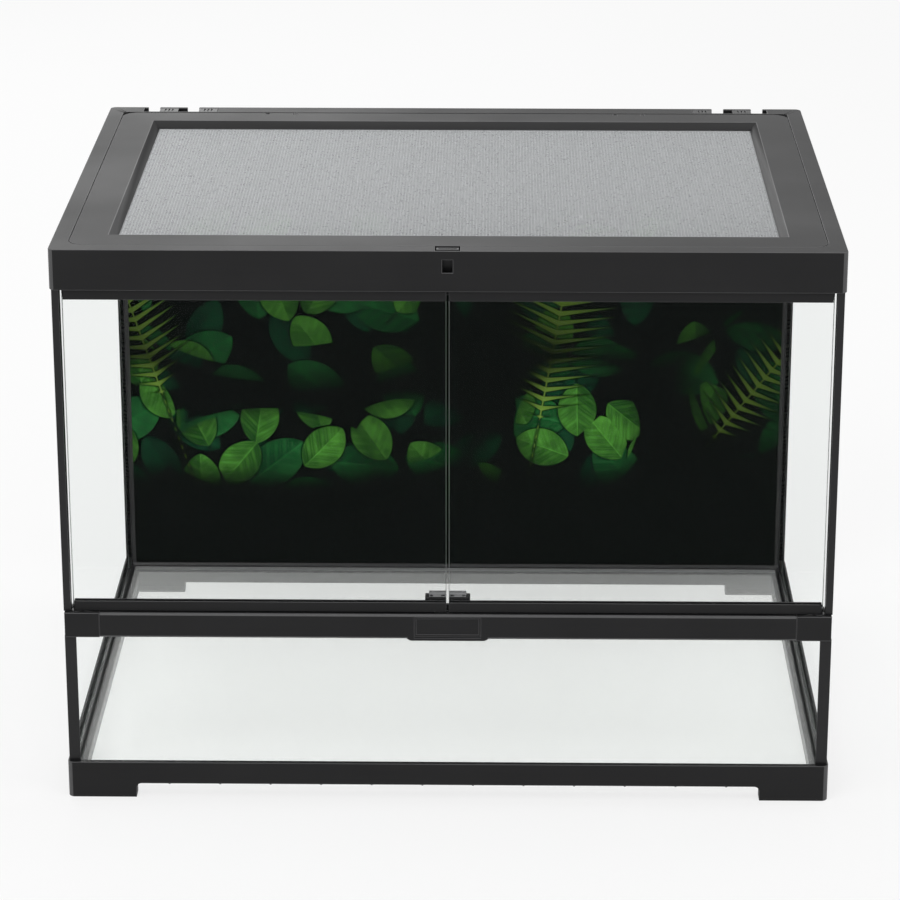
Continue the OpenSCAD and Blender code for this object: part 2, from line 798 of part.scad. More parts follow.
// Flat bolt that rises out of the sill into both doors: a bridge, two guide legs and a round-ended foot
module lock_bolt() {
    x = bolt_w / 2;
    y0 = bolt_y - bolt_t / 2;
    y1 = bolt_y + bolt_t / 2;
    foot = bolt_foot_w / 2;
    color(steel) {
        block([-x, y0, bolt_bridge_z], [x, y1, bolt_rest_top]);
        for (s = [-1, 1]) side(s)
            block([x - bolt_leg_w, y0, bolt_foot_z], [x, y1, bolt_bridge_z + lap]);
        block([-foot, bolt_y - foot, bolt_foot_z + foot], [foot, bolt_y + foot, bolt_bridge_z + lap]);
        bar_y(0, bolt_y, bolt_foot_z + foot, bolt_foot_w, foot);
    }
}

module door_glass(s) {
    color(clear_glass) side(s)
        block([door_in_x, glass_y, door_glass_z], [door_out_x - play, glass_back_y, door_glass_top]);
}

// Channel strip on a door's edge from x0 out, with a round end on the hinge axis
module door_strip(x0, z0, z1, groove_z0, groove_z1) {
    difference() {
        union() {
            block([x0, strip_y, z0], [hinge_x, strip_back, z1]);
            post(hinge_x, hinge_y, z0, z1, strip_t / 2);
        }
        block([0, glass_y, groove_z0], [half_w, glass_back_y, groove_z1]);
    }
}

// Bottom strip: open along its top for the glass, with the pin's bore
module door_bottom_strip(s) {
    color(plastic) side(s) difference() {
        door_strip(keeper_x, door_z, door_z + strip_h, door_glass_z, door_z + strip_h + cut);
        post(hinge_x, hinge_y, door_z - cut, door_glass_z, hinge_pin_r);
    }
}

// Keeper that carries the bottom strip on to the door's free end, with the pocket for the lock's bolt
module bolt_keeper(s) {
    color(plastic) side(s) difference() {
        block([door_in_x, strip_y, door_z], [keeper_x, strip_back, door_z + strip_h]);
        block([0, glass_y, door_glass_z], [half_w, glass_back_y, door_z + strip_h + cut]);
        block([0, bolt_y - bolt_t / 2 - bolt_slack, door_z - cut],
              [bolt_w / 2 + 1, bolt_y + bolt_t / 2 + bolt_slack, door_glass_z + lap]);
    }
}

// Top strip: the same channel upside down
module door_top_strip(s) {
    color(plastic) side(s) difference() {
        door_strip(door_in_x, door_top - strip_h, door_top, door_top - strip_h - cut, door_glass_top);
        post(hinge_x, hinge_y, door_glass_top, door_top + cut, hinge_pin_r);
    }
}

// Stepped catch block on the inside of a door's lower free corner, with its two screws' recesses
module door_catch(s) {
    x0 = door_in_x + catch_gap;
    z0 = door_z + strip_h;
    y0 = glass_back_y;
    step_z = z0 + catch_foot_h;
    top = step_z + catch_step_h;
    color(black) side(s) difference() {
        union() {
            block([x0, y0, z0], [x0 + catch_w, y0 + catch_d, step_z]);
            block([x0, y0, step_z - lap], [x0 + catch_w - catch_step, y0 + catch_d - catch_step, top]);
        }
        for (i = [0, 1])
            translate([x0 + 3 + i * (catch_w - catch_step - 6), 0, 0])
                post(0, y0 + (catch_d - catch_step) / 2, top - 1.2, top + cut, catch_screw_r);
    }
}

// Steel pins at the foot and the head of a door
module door_pins(s) {
    color(steel) side(s) {
        post(hinge_x, hinge_y, door_z - hinge_pin_l, door_glass_z, hinge_pin_r);
        post(hinge_x, hinge_y, door_glass_top, door_top + hinge_pin_l, hinge_pin_r);
    }
}

// Moulded top frame: rim, lid seat, pane channels, front bar, latch pocket, inlet tracks and hinge ears
module top_frame() {
    seat_x = recess_x - seat_w;
    seat_front = recess_front + seat_w;
    seat_rear = recess_rear - seat_w;
    under_x = pane_in_x - pane_slot_in - pane_lip;
    slot_top = pane_top + play;
    recess_mid = (recess_front + recess_rear) / 2;
    stop_y = strip_back + stop_gap;
    color(plastic) {
        difference() {
            slab(body_w, body_d, frame_r, top_z, body_h);
            translate([0, recess_mid, 0])
                slab(2 * recess_x, recess_rear - recess_front, recess_r, recess_z, body_h + cut);
            translate([0, recess_rear - recess_r, 0])
                slab(2 * recess_x, 2 * recess_r, recess_rear_r, recess_z, body_h + cut);
            block([-seat_x, seat_front, top_z - cut], [seat_x, seat_rear, body_h + cut]);
            block([-under_x, sill_back, top_z - cut], [under_x, drop_back, under_seat]);
            for (s = [-1, 1]) side(s) {
                block([pane_in_x - pane_slot_in, glass_y - play, top_z - cut],
                      [pane_x + play, pane_y + play, slot_top]);
                block([latch_block_w / 2, -half_d + bar_wall, top_z + bar_floor],
                      [half_w - bar_end, seat_front + cut, under_seat]);
                post(hinge_x, hinge_y, top_z - cut, top_z + bush_l, hinge_bush_r);
                inlet_cuts();
            }
            block([-pane_x - play, pane_in_y - pane_slot_in, top_z - cut],
                  [pane_x + play, pane_y + play, slot_top]);
            latch_cuts();
            for (i = [0, 1])
                post(plate_hole_x(i), plate_y, under_seat - cut, recess_z + cut, plate_screw_r);
        }
        block([-pane_in_x + 14, stop_y, door_top - 5], [pane_in_x - 14, stop_y + 2, top_z + lap]);
        for (s = [-1, 1]) side(s) lid_ears();
    }
}

// Where the bracket's two screws stand along X
function plate_hole_x(i) = bracket_x + 22 + i * (plate_l - 34);

// Two ears that hold one of the lid's hinge pins
module lid_ears() {
    for (i = [-1, 1])
        difference() {
            translate([lid_hinge_x + i * (knuckle_w / 2 + ear_gap + ear_t / 2), 0, 0])
                block([-ear_t / 2, lid_axis_y - ear_front, recess_z - lap],
                      [ear_t / 2, recess_rear + lap, body_h - play]);
            bar_x(lid_hinge_x, lid_axis_y, lid_axis_z, knuckle_w + 3 * ear_t, lid_pin_r);
        }
}

// Pocket, window and pin bore of the latch, cut from the front bar
module latch_cuts() {
    block([-latch_pocket_w / 2, -half_d + bar_wall - 0.4, latch_pocket_z],
          [latch_pocket_w / 2, recess_front + lap, body_h + cut]);
    block([-latch_window_w / 2, -half_d - cut, latch_z - 1],
          [latch_window_w / 2, -half_d + bar_wall + cut, latch_z + 9]);
    bar_x(0, latch_y, latch_z, latch_pocket_w + 6, latch_pin_r);
}

// Track with two inlets in one rear corner
module inlet_cuts() {
    x0 = inlet_x - inlet_pitch - gate_w / 2 - gate_travel - gate_gap;
    block([x0, track_front, track_z], [inlet_x + gate_w / 2 + gate_gap, track_back, body_h + cut]);
    for (i = [0, 1])
        translate([inlet_x - i * inlet_pitch, 0, 0]) {
            block([-inlet_w / 2, track_back - cut, track_z], [inlet_w / 2, half_d + cut, body_h + cut]);
            block([-inlet_w / 2, track_front - 1, top_z - cut], [inlet_w / 2, drop_back, track_z + cut]);
        }
}

// Sliding gate beside one inlet, with a finger groove across its top; it rests open
module inlet_gate(s, i) {
    x = inlet_x - i * inlet_pitch - gate_travel;
    z = body_h - play;
    color(black) side(s) difference() {
        block([x - gate_w / 2, track_front + gate_gap, track_z + gate_gap],
              [x + gate_w / 2, track_back - gate_gap, z]);
        for (k = [-1, 0, 1])
            translate([x + k * 3, 0, 0])
                block([-0.6, track_front + 2, z - 0.8], [0.6, track_back - 2, z + cut]);
    }
}

module lid_hinge_pins() {
    color(steel) for (s = [-1, 1])
        bar_x(s * lid_hinge_x, lid_axis_y, lid_axis_z, knuckle_w + 2 * ear_gap + 2 * ear_t, lid_pin_r);
}

// Rocker that holds the lid's tongue: pressed on its pad, it tips forward on its pin
module latch_rocker() {
    x = latch_w / 2;
    nose_z = tongue_z + tongue_t + 0.6;
    nose_y = rocker_back - 1.3;
    color(black) difference() {
        union() {
            block([-x, latch_y - 3, latch_z - 3.4], [x, rocker_back - 1.2, body_h - 4]);
            block([-x, pad_front, body_h - 4 - lap], [x, rocker_back - 1.2, body_h - play]);
            translate([-x, 0, 0]) rotate([90, 0, 90]) linear_extrude(latch_w)
                polygon([[nose_y, nose_z], [rocker_back, nose_z],
                         [rocker_back, body_h - 3.2], [nose_y, body_h - play]]);
            bar_x(0, latch_y, latch_z, latch_w, rocker_hub_r);
        }
        bar_x(0, latch_y, latch_z, latch_w + cut, latch_pin_r + run_fit);
        for (k = [0 : 2])
            translate([0, pad_front + 1.4 + k * 1.3, body_h - play]) rotate([0, 90, 0])
                cylinder(h = latch_w - 3, r = 0.35, center = true, $fn = 24);
    }
}

module latch_pin() {
    color(steel) bar_x(0, latch_y, latch_z, latch_pocket_w + 5, latch_pin_r);
}

// Bent leaf behind the rocker's foot, which tips the rocker back over the tongue
module latch_spring() {
    front = rocker_back - 1.2 + spring_t / 4;
    back = recess_front - play;
    z0 = latch_pocket_z + play;
    lean = 0.9;
    leg_h = latch_z - rocker_hub_r - z0 - 0.4;
    color(steel) translate([-spring_w / 2, 0, 0]) rotate([90, 0, 90]) linear_extrude(spring_w)
        polygon([[front, z0], [back, z0], [back, z0 + leg_h], [back - spring_t, z0 + leg_h],
                 [back - spring_t, z0 + spring_t], [front + spring_t * 1.5, z0 + spring_t],
                 [front + lean + spring_t, z0 + leg_h], [front + lean, z0 + leg_h]]);
}

// A rectangular funnel from the lid's flat border down to the mesh
module bevel_cut() {
    translate([0, lid_mid_y, 0]) hull() {
        translate([0, 0, body_h]) linear_extrude(lap) square([open_w, open_d], center = true);
        translate([0, 0, mesh_top - lap]) linear_extrude(lap)
            square([clamp_open_w, clamp_open_d], center = true);
    }
}

// Positions of the clamp frame's screws
function clamp_screws() =
    let (x = clamp_out_w / 2 - screw_inset, y = clamp_out_d / 2 - screw_inset)
    concat(
        [for (i = [-1.5 : 1 : 1.5], s = [-1, 1]) [i * 2 * x / 3.3, s * y]],
        [for (s = [-1, 1], j = [-0.5, 0.5]) [s * x, j * y]]);

// Lid: flat border, outer wall, bevel to the mesh, knuckles at the back and the latch's tongue in front
module lid_frame() {
    color(plastic) difference() {
        union() {
            difference() {
                translate([0, lid_mid_y, 0]) slab(lid_w, lid_d, lid_r, lid_z, body_h);
                translate([0, lid_mid_y, 0]) difference() {
                    slab(lid_w - 2 * lid_wall, lid_d - 2 * lid_wall, lid_r - lid_wall,
                         lid_z - cut, body_h - lid_skin);
                    plate(clamp_out_w + 3, clamp_out_d + 3, lid_z - 2 * cut, body_h);
                }
            }
            for (s = [-1, 1])
                translate([s * lid_hinge_x, 0, 0])
                    block([-knuckle_w / 2 - 8, lid_axis_y - 9, lid_z], [knuckle_w / 2 + 8, lid_rear, body_h]);
            block([-tongue_w / 2, tongue_front, tongue_z],
                  [tongue_w / 2, lid_front + lap, tongue_z + tongue_t]);
        }
        bevel_cut();
        translate([0, lid_mid_y, 0]) {
            plate(mesh_w + 2 * play, mesh_d + 2 * play, lid_z - cut, mesh_top);
            plate(clamp_out_w + 2 * clamp_room, clamp_out_d + 2 * clamp_room, lid_z - cut, mesh_z);
            for (p = clamp_screws()) post(p[0], p[1], mesh_z - cut, mesh_z + screw_depth, lid_screw_r);
        }
        block([-half_w, lid_rear - relief_reach, lid_z - cut], [half_w, half_d, lid_z + rear_relief]);
        for (s = [-1, 1], i = [-1, 1])
            translate([s * lid_hinge_x + i * (knuckle_w / 2 + ear_gap + ear_t / 2), 0, 0])
                block([-ear_t / 2 - ear_gap, lid_axis_y - notch_front, lid_z - cut],
                      [ear_t / 2 + ear_gap, half_d, body_h + cut]);
        for (s = [-1, 1])
            bar_x(s * lid_hinge_x, lid_axis_y, lid_axis_z, knuckle_w + cut, lid_pin_r + run_fit);
    }
}

// The fine wire mesh as one thin sheet
module lid_mesh() {
    color(steel) translate([0, lid_mid_y, 0])
        plate(mesh_w, mesh_d, mesh_z, mesh_top);
}

// Flat frame that clamps the mesh against the lid from below
module mesh_clamp_frame() {
    color(plastic) translate([0, lid_mid_y, 0]) difference() {
        plate(clamp_out_w, clamp_out_d, clamp_z, mesh_z);
        plate(clamp_open_w, clamp_open_d, clamp_z - cut, mesh_z + cut);
        for (p = clamp_screws()) post(p[0], p[1], clamp_z - cut, mesh_z + cut, lid_screw_r + 0.15);
    }
}

module lid_screws() {
    color(steel) translate([0, lid_mid_y, 0]) for (p = clamp_screws()) {
        post(p[0], p[1], clamp_z - lap, mesh_z + screw_depth, lid_screw_r);
        post(p[0], p[1], clamp_z - screw_head_h, clamp_z, screw_head_r);
    }
}

// Plate screwed up under the rear seat, bored for the arm's swivel pin
module bracket_plate() {
    color(black) difference() {
        union() {
            block([bracket_x, plate_y - plate_w / 2, plate_z],
                  [bracket_x + plate_l - plate_w / 2, plate_y + plate_w / 2, plate_top]);
            post(bracket_x, plate_y, plate_z, plate_top, plate_w / 2);
            post(bracket_x + plate_l - plate_w / 2, plate_y, plate_z, plate_top, plate_w / 2);
        }
        post(bracket_x, plate_y, plate_z - cut, plate_top + cut, swivel_pin_r + run_fit);
        post(bracket_x, plate_y, plate_top - swivel_head_h - play, plate_top + cut, swivel_head_r + play);
        for (i = [0, 1])
            post(plate_hole_x(i), plate_y, plate_z - cut, plate_top + cut, plate_screw_r + 0.15);
    }
}

module bracket_screws() {
    color(steel) for (i = [0, 1]) {
        post(plate_hole_x(i), plate_y, plate_z - lap, recess_z - play, plate_screw_r);
        post(plate_hole_x(i), plate_y, plate_z - 1.6, plate_z, plate_screw_r + 1.4);
    }
}

// Two cheeks round an elbow at (x, z), whose arm leaves in the direction a below the horizontal +X
module fork(x, z, a, l) {
    translate([x, plate_y, z]) rotate([0, a, 0]) difference() {
        union() {
            rotate([90, 0, 0]) cylinder(h = arm_t, r = elbow_r, center = true, $fn = round_fn);
            block([0, -arm_t / 2, -arm_w / 2], [l, arm_t / 2, arm_w / 2]);
        }
        block([-elbow_r - cut, -arm_tongue_t / 2 - elbow_gap, -arm_w],
              [elbow_r + elbow_gap, arm_tongue_t / 2 + elbow_gap, arm_w]);
    }
}

// A thin eye round an elbow at (x, z), whose arm leaves in the direction a below the horizontal +X
module eye(x, z, a, l) {
    translate([x, plate_y, z]) rotate([0, a, 0]) {
        rotate([90, 0, 0]) cylinder(h = arm_tongue_t, r = elbow_r - 0.4, center = true, $fn = round_fn);
        block([0, -arm_tongue_t / 2, -arm_w / 2 + 0.4], [elbow_r + 1, arm_tongue_t / 2, arm_w / 2 - 0.4]);
        block([elbow_r + 0.8, -arm_t / 2, -arm_w / 2], [l, arm_t / 2, arm_w / 2]);
    }
}

// Upper arm: hub and swivel pin above, fork at the elbow
module arm_upper() {
    hub_top = plate_z - hub_gap;
    color(black) difference() {
        union() {
            post(bracket_x, plate_y, hub_top - hub_h, hub_top, hub_r);
            post(bracket_x, plate_y, hub_top - lap, plate_top - swivel_head_h, swivel_pin_r);
            post(bracket_x, plate_y, plate_top - swivel_head_h - lap, plate_top - play, swivel_head_r);
            fork(bracket_x, elbow_z, -90, arm_upper_l - hub_gap - hub_h + lap);
        }
        bar_y(bracket_x, plate_y, elbow_z, arm_t + cut, elbow_pin_r);
    }
}

// Middle arm: eye at the upper elbow, fork at the lower one
module arm_middle() {
    a = 90 + elbow_lean;
    color(black) difference() {
        union() {
            eye(bracket_x, elbow_z, a, arm_middle_l - elbow_r - elbow_gap - 1);
            fork(lower_x, lower_z, a + 180, arm_middle_l - elbow_r - 2);
        }
        bar_y(bracket_x, plate_y, elbow_z, arm_t + cut, elbow_pin_r + run_fit);
        bar_y(lower_x, plate_y, lower_z, arm_t + cut, elbow_pin_r);
    }
}

// Moves its children onto the lower arm, whose axis runs along +X from the lower elbow
module on_lower_arm() {
    translate([lower_x, plate_y, lower_z]) rotate([0, 90 - elbow_lean, 0]) children();
}

// Lower arm: eye at the lower elbow, and a bore in its end for the clip's peg
module arm_lower() {
    stem = arm_lower_l - clip_r - clip_wall - clip_gap;
    color(black) difference() {
        eye(lower_x, lower_z, 90 - elbow_lean, stem);
        bar_y(lower_x, plate_y, lower_z, arm_t + cut, elbow_pin_r + run_fit);
        on_lower_arm() bar_x(stem, 0, 0, 2 * (clip_peg_l + play), clip_peg_r + run_fit);
    }
}

// Open ring clip that turns on its peg in the end of the lower arm
module nozzle_clip() {
    outer = clip_r + clip_wall;
    mouth = clip_r * 1.2;
    heel = arm_lower_l - outer;
    color(black) on_lower_arm() difference() {
        union() {
            translate([arm_lower_l, 0, 0]) rotate([90, 0, 0])
                cylinder(h = clip_l, r = outer, center = true, $fn = round_fn);
            block([heel, -arm_t / 2, -arm_w / 2], [arm_lower_l, arm_t / 2, arm_w / 2]);
            bar_x(heel - clip_gap - clip_peg_l / 2 + 1, 0, 0, clip_peg_l + 2, clip_peg_r);
        }
        translate([arm_lower_l, 0, 0]) rotate([90, 0, 0])
            cylinder(h = clip_l + cut, r = clip_r, center = true, $fn = round_fn);
        block([arm_lower_l, -clip_l, -mouth / 2], [arm_lower_l + outer + cut, clip_l, mouth / 2]);
    }
}

module elbow_pin(x, z) {
    color(steel) bar_y(x, plate_y, z, arm_t, elbow_pin_r);
}

// Printed card that stands inside against the rear pane
module background_card() {
    color([0.03, 0.05, 0.04])
        block([-card_x, card_back - card_t, card_z], [card_x, card_back, card_top]);
}

base_frame();
floor_glass();
front_glass();
side_glass(-1);  // left_glass
side_glass(1);  // right_glass
rear_glass();
floor_sealant();
corner_sealant();
edge_trim(-1);  // edge_trim_left
edge_trim(1);  // edge_trim_right
front_corner_trim(-1);  // front_corner_trim_left
front_corner_trim(1);  // front_corner_trim_right
rear_corner_trim(-1);  // rear_corner_trim_left
rear_corner_trim(1);  // rear_corner_trim_right
sill_rail();
sill_end(-1);  // sill_end_left
sill_end(1);  // sill_end_right
vent_grille();
hinge_bushes();
lock_flap();
lock_wheel();
lock_bolt();
door_glass(-1);  // door_glass_left
door_glass(1);  // door_glass_right
door_bottom_strip(-1);  // door_bottom_strip_left
door_bottom_strip(1);  // door_bottom_strip_right
bolt_keeper(-1);  // bolt_keeper_left
bolt_keeper(1);  // bolt_keeper_right
door_top_strip(-1);  // door_top_strip_left
door_top_strip(1);  // door_top_strip_right
door_catch(-1);  // door_catch_left
door_catch(1);  // door_catch_right
door_pins(-1);  // door_pins_left
door_pins(1);  // door_pins_right
top_frame();
lid_hinge_pins();
latch_rocker();
latch_pin();
latch_spring();
lid_frame();
lid_mesh();
mesh_clamp_frame();
lid_screws();
inlet_gate(-1, 0);  // inlet_gate_left_outer
inlet_gate(-1, 1);  // inlet_gate_left_inner
inlet_gate(1, 1);  // inlet_gate_right_inner
inlet_gate(1, 0);  // inlet_gate_right_outer
bracket_plate();
bracket_screws();
arm_upper();
arm_middle();
arm_lower();
nozzle_clip();
elbow_pin(bracket_x, elbow_z);  // upper_elbow_pin
elbow_pin(lower_x, lower_z);  // lower_elbow_pin
background_card();
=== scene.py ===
# Reptile terrarium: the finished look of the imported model, put together in the order of its making.
# Everything is in metres in the model's own frame: the doors face -Y and Z is up.
import json
import math

import bmesh
import bpy
from mathutils import Matrix, Vector


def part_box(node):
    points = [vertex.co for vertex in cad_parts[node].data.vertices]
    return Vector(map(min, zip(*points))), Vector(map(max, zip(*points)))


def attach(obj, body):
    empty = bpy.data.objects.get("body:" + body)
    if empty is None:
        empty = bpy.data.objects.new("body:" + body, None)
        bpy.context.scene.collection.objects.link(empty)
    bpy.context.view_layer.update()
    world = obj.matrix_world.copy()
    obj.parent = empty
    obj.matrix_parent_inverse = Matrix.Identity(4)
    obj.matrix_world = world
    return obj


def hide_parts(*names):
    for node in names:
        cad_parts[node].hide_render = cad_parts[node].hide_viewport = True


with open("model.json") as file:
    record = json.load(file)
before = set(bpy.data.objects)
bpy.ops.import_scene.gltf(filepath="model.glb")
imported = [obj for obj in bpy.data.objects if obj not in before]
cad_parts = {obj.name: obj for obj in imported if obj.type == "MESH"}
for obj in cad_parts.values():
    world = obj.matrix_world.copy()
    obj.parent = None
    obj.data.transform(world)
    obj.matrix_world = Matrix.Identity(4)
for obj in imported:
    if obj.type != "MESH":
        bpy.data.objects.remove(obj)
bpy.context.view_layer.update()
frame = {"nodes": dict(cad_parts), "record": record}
mm = 0.001

# Camera. The picture was taken with a long lens from above the tank's front and a little right of its
# middle. The camera stands where that lens stood and looks at the middle of the picture.
focal_length = 138
camera_place = Vector((0.0378, -2.708, 1.1645))
camera_view = Vector((-0.01444, 1, -0.3512))
lens = bpy.data.cameras.new("camera")
lens.lens = focal_length
lens.clip_end = 60
camera = bpy.data.objects.new("camera", lens)
camera.location = camera_place
camera.rotation_euler = camera_view.to_track_quat("-Z", "Y").to_euler()
bpy.context.scene.collection.objects.link(camera)
bpy.context.scene.camera = camera


# Studio. A pale floor that runs on to white, four soft lamps and a pale room. Camera, metal and glass
# see the white room, and the object is lit at a plain level.
def node(tree, kind, inputs=None, **settings):
    """Adds a shader node, sets its properties, and fills or links its inputs by name or by number."""
    made = tree.nodes.new("ShaderNode" + kind)
    for key, value in settings.items():
        setattr(made, key, value)
    for key, value in (inputs or {}).items():
        if isinstance(value, bpy.types.NodeSocket):
            tree.links.new(value, made.inputs[key])
        else:
            made.inputs[key].default_value = value
    return made


def math_node(tree, operation, a, b=0.0, clamp=False):
    """The result of one sum on two numbers or sockets."""
    return node(tree, "Math", {0: a, 1: b}, operation=operation, use_clamp=clamp).outputs[0]


def seen_directly(tree):
    """1 for rays from the camera or passed on by metal and glass, 0 for the light's own rays."""
    path = node(tree, "LightPath").outputs
    either = math_node(tree, "MAXIMUM", path["Is Camera Ray"], path["Is Glossy Ray"])
    return math_node(tree, "MAXIMUM", either, path["Is Transmission Ray"])


studio = bpy.data.worlds.new("studio")
studio.use_nodes = True
bpy.context.scene.world = studio
bpy.context.scene.view_settings.view_transform = "Standard"
room = studio.node_tree
room_light = room.nodes["Background"]
room_light.inputs["Color"].default_value = (1, 1, 1, 1)
light_level, seen_level = 0.5, 1.0
room_level = node(room, "Mix", {"Factor": seen_directly(room), "A": light_level, "B": seen_level})
room.links.new(room_level.outputs["Result"], room_light.inputs["Strength"])

floor_paper = bpy.data.materials.new("floor_paper")
floor_paper.use_nodes = True
paper = floor_paper.node_tree
paper.nodes.remove(paper.nodes["Principled BSDF"])
paper_place = node(paper, "TexCoord").outputs["Object"]
paper_grain = node(paper, "TexNoise", {"Vector": paper_place, "Scale": 3.0})
paper_tone = node(paper, "ValToRGB", {"Fac": paper_grain.outputs["Fac"]})
paper_tone.color_ramp.elements[0].color = (0.86, 0.86, 0.86, 1)
paper_tone.color_ramp.elements[1].color = (0.88, 0.88, 0.88, 1)
paper_matt = node(paper, "BsdfDiffuse", {"Color": paper_tone.outputs["Color"]})
paper_glow = node(paper, "Emission", {"Color": (1, 1, 1, 1), "Strength": 1.0})
paper_reach = node(paper, "VectorMath", {0: paper_place}, operation="LENGTH")
paper_white = node(paper, "MapRange", {
    "Value": paper_reach.outputs["Value"],
    "From Min": 0.8, "From Max": 6.0, "To Min": 0.76, "To Max": 1.0,
}, interpolation_type="SMOOTHSTEP")
paper_share = math_node(paper, "MULTIPLY", seen_directly(paper), paper_white.outputs["Result"])
paper_mix = node(paper, "MixShader", {
    0: paper_share, 1: paper_matt.outputs[0], 2: paper_glow.outputs[0],
})
paper.links.new(paper_mix.outputs[0], paper.nodes["Material Output"].inputs["Surface"])

floor_radius = 9
floor_shape = bmesh.new()
bmesh.ops.create_circle(floor_shape, cap_ends=True, segments=96, radius=floor_radius)
floor_mesh = bpy.data.meshes.new("studio_floor")
floor_shape.to_mesh(floor_mesh)
floor_shape.free()
floor_mesh.materials.append(floor_paper)
studio_floor = bpy.data.objects.new("studio_floor", floor_mesh)
bpy.context.scene.collection.objects.link(studio_floor)

lamp_aim = Vector((0, 0, 0.2))
for name, place, power, size in [
    ("key_lamp", (-1.5, -2.0, 2.3), 30, 1.8),
    ("fill_lamp", (2.1, -1.6, 1.4), 12, 1.6),
    ("top_lamp", (0.2, 0.5, 2.6), 26, 2.4),
    ("back_lamp", (-0.8, 2.4, 1.6), 12, 1.6),
]:
    lamp = bpy.data.lights.new(name, "AREA")
    lamp.energy = power
    lamp.size = size
    stand = bpy.data.objects.new(name, lamp)
    stand.location = place
    stand.rotation_euler = (lamp_aim - Vector(place)).to_track_quat("-Z", "Y").to_euler()
    bpy.context.scene.collection.objects.link(stand)

# Base frame. One moulding of charcoal plastic with a fine spark-eroded grain: skirt, four feet, and the
# ledge that the panes stand on. Its outer edges are eased, as a mould's are, and painted a little paler,
# as wear and as a painted highlight.
slot_of = {part["node"]: part["material_slot"] for part in frame["record"]["subparts"]}
body_of = {}
for body_name, members in frame["record"]["behaviour"]["bodies"].items():
    body_of.update(dict.fromkeys(members, body_name))


def show(name, shape, finishes, body, smooth_below=40):
    """Makes a piece of a bmesh: smooth over its easy bends, flat on its flats, riding on a body."""
    mesh = bpy.data.meshes.new(name)
    for face in shape.faces:
        face.smooth = True
    shape.to_mesh(mesh)
    shape.free()
    mesh.set_sharp_from_angle(angle=math.radians(smooth_below))
    for finish in finishes:
        mesh.materials.append(finish)
    piece = bpy.data.objects.new(name, mesh)
    bpy.context.scene.collection.objects.link(piece)
    flats = piece.modifiers.new("flats", "WEIGHTED_NORMAL")
    flats.keep_sharp = True
    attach(piece, body)
    return piece


def merged_copy(*parts, seam=None):
    """The mesh of CAD parts, its loose triangles joined into whole faces. Two parts meet at x = seam."""
    shape = bmesh.new()
    for part in parts:
        shape.from_mesh(frame["nodes"][part].data)
    bmesh.ops.remove_doubles(shape, verts=shape.verts, dist=1e-6)
    if seam is not None:
        inner = [f for f in shape.faces if all(abs(v.co.x - seam) < 1e-6 for v in f.verts)]
        bmesh.ops.delete(shape, geom=inner, context="FACES_ONLY")
    bmesh.ops.join_triangles(
        shape, faces=shape.faces[:], angle_face_threshold=math.radians(0.3),
        angle_shape_threshold=math.radians(180),
    )
    for face in shape.faces:
        face.material_index = 0
    return shape


chamfer_length, chamfer_width = 20 * mm, 2.5 * mm


def is_chamfer(face):
    """True for a long, narrow and slanting face, which takes the paler edge finish as a painted
    highlight.
    """
    longest = max(edge.calc_length() for edge in face.edges)
    slanting = max(abs(part) for part in face.normal) < 0.95
    return slanting and longest > chamfer_length and face.calc_area() / longest < chamfer_width


def ease_edges(shape, radius, shortest=0.6 * mm):
    """Rounds a shape's outward edges, apart from its bores' short facets, and gives them and long
    chamfers the second finish.
    """
    edges = [
        edge
        for edge in shape.edges
        if edge.is_manifold
        and edge.is_convex
        and edge.calc_face_angle() > math.radians(30)
        and edge.calc_length() > shortest
    ]
    eased = bmesh.ops.bevel(
        shape, geom=edges, offset=radius, offset_type="OFFSET", affect="EDGES", segments=2,
        profile=0.5, material=-1, clamp_overlap=False, loop_slide=False,
    )
    # On a moulding the second finish is paler: on rounded edges it is wear and a painted highlight, and
    # on long chamfers a painted highlight only.
    for face in eased["faces"] + [face for face in shape.faces if is_chamfer(face)]:
        face.material_index = 1


def moulding(part, finish, radius, *merged_parts, **seam):
    """Shows a CAD part, and any that are one with it, in its finish, with eased edges painted paler as
    wear and highlight.
    """
    shape = merged_copy(part, *merged_parts, **seam)
    ease_edges(shape, radius)
    worn_and_highlit_finish = bpy.data.materials[finish.name + "_edge"]
    piece = show(part + "_moulding", shape, [finish, worn_and_highlit_finish], body_of[part])
    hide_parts(part, *merged_parts)


def add_worn_and_highlit_edge(finish, wear_and_highlight_lift, shine):
    """The same finish for edges, paler and shinier: wear, and a painted highlight."""
    worn_and_highlit = finish.copy()
    worn_and_highlit.name = finish.name + "_edge"
    tone = next(n for n in worn_and_highlit.node_tree.nodes if n.bl_idname == "ShaderNodeValToRGB")
    for stop in tone.color_ramp.elements:
        stop.color = [*(wear_and_highlight_lift * channel for channel in stop.color[:3]), 1]
    worn_and_highlit.node_tree.nodes["Principled BSDF"].inputs["Specular IOR Level"].default_value = shine


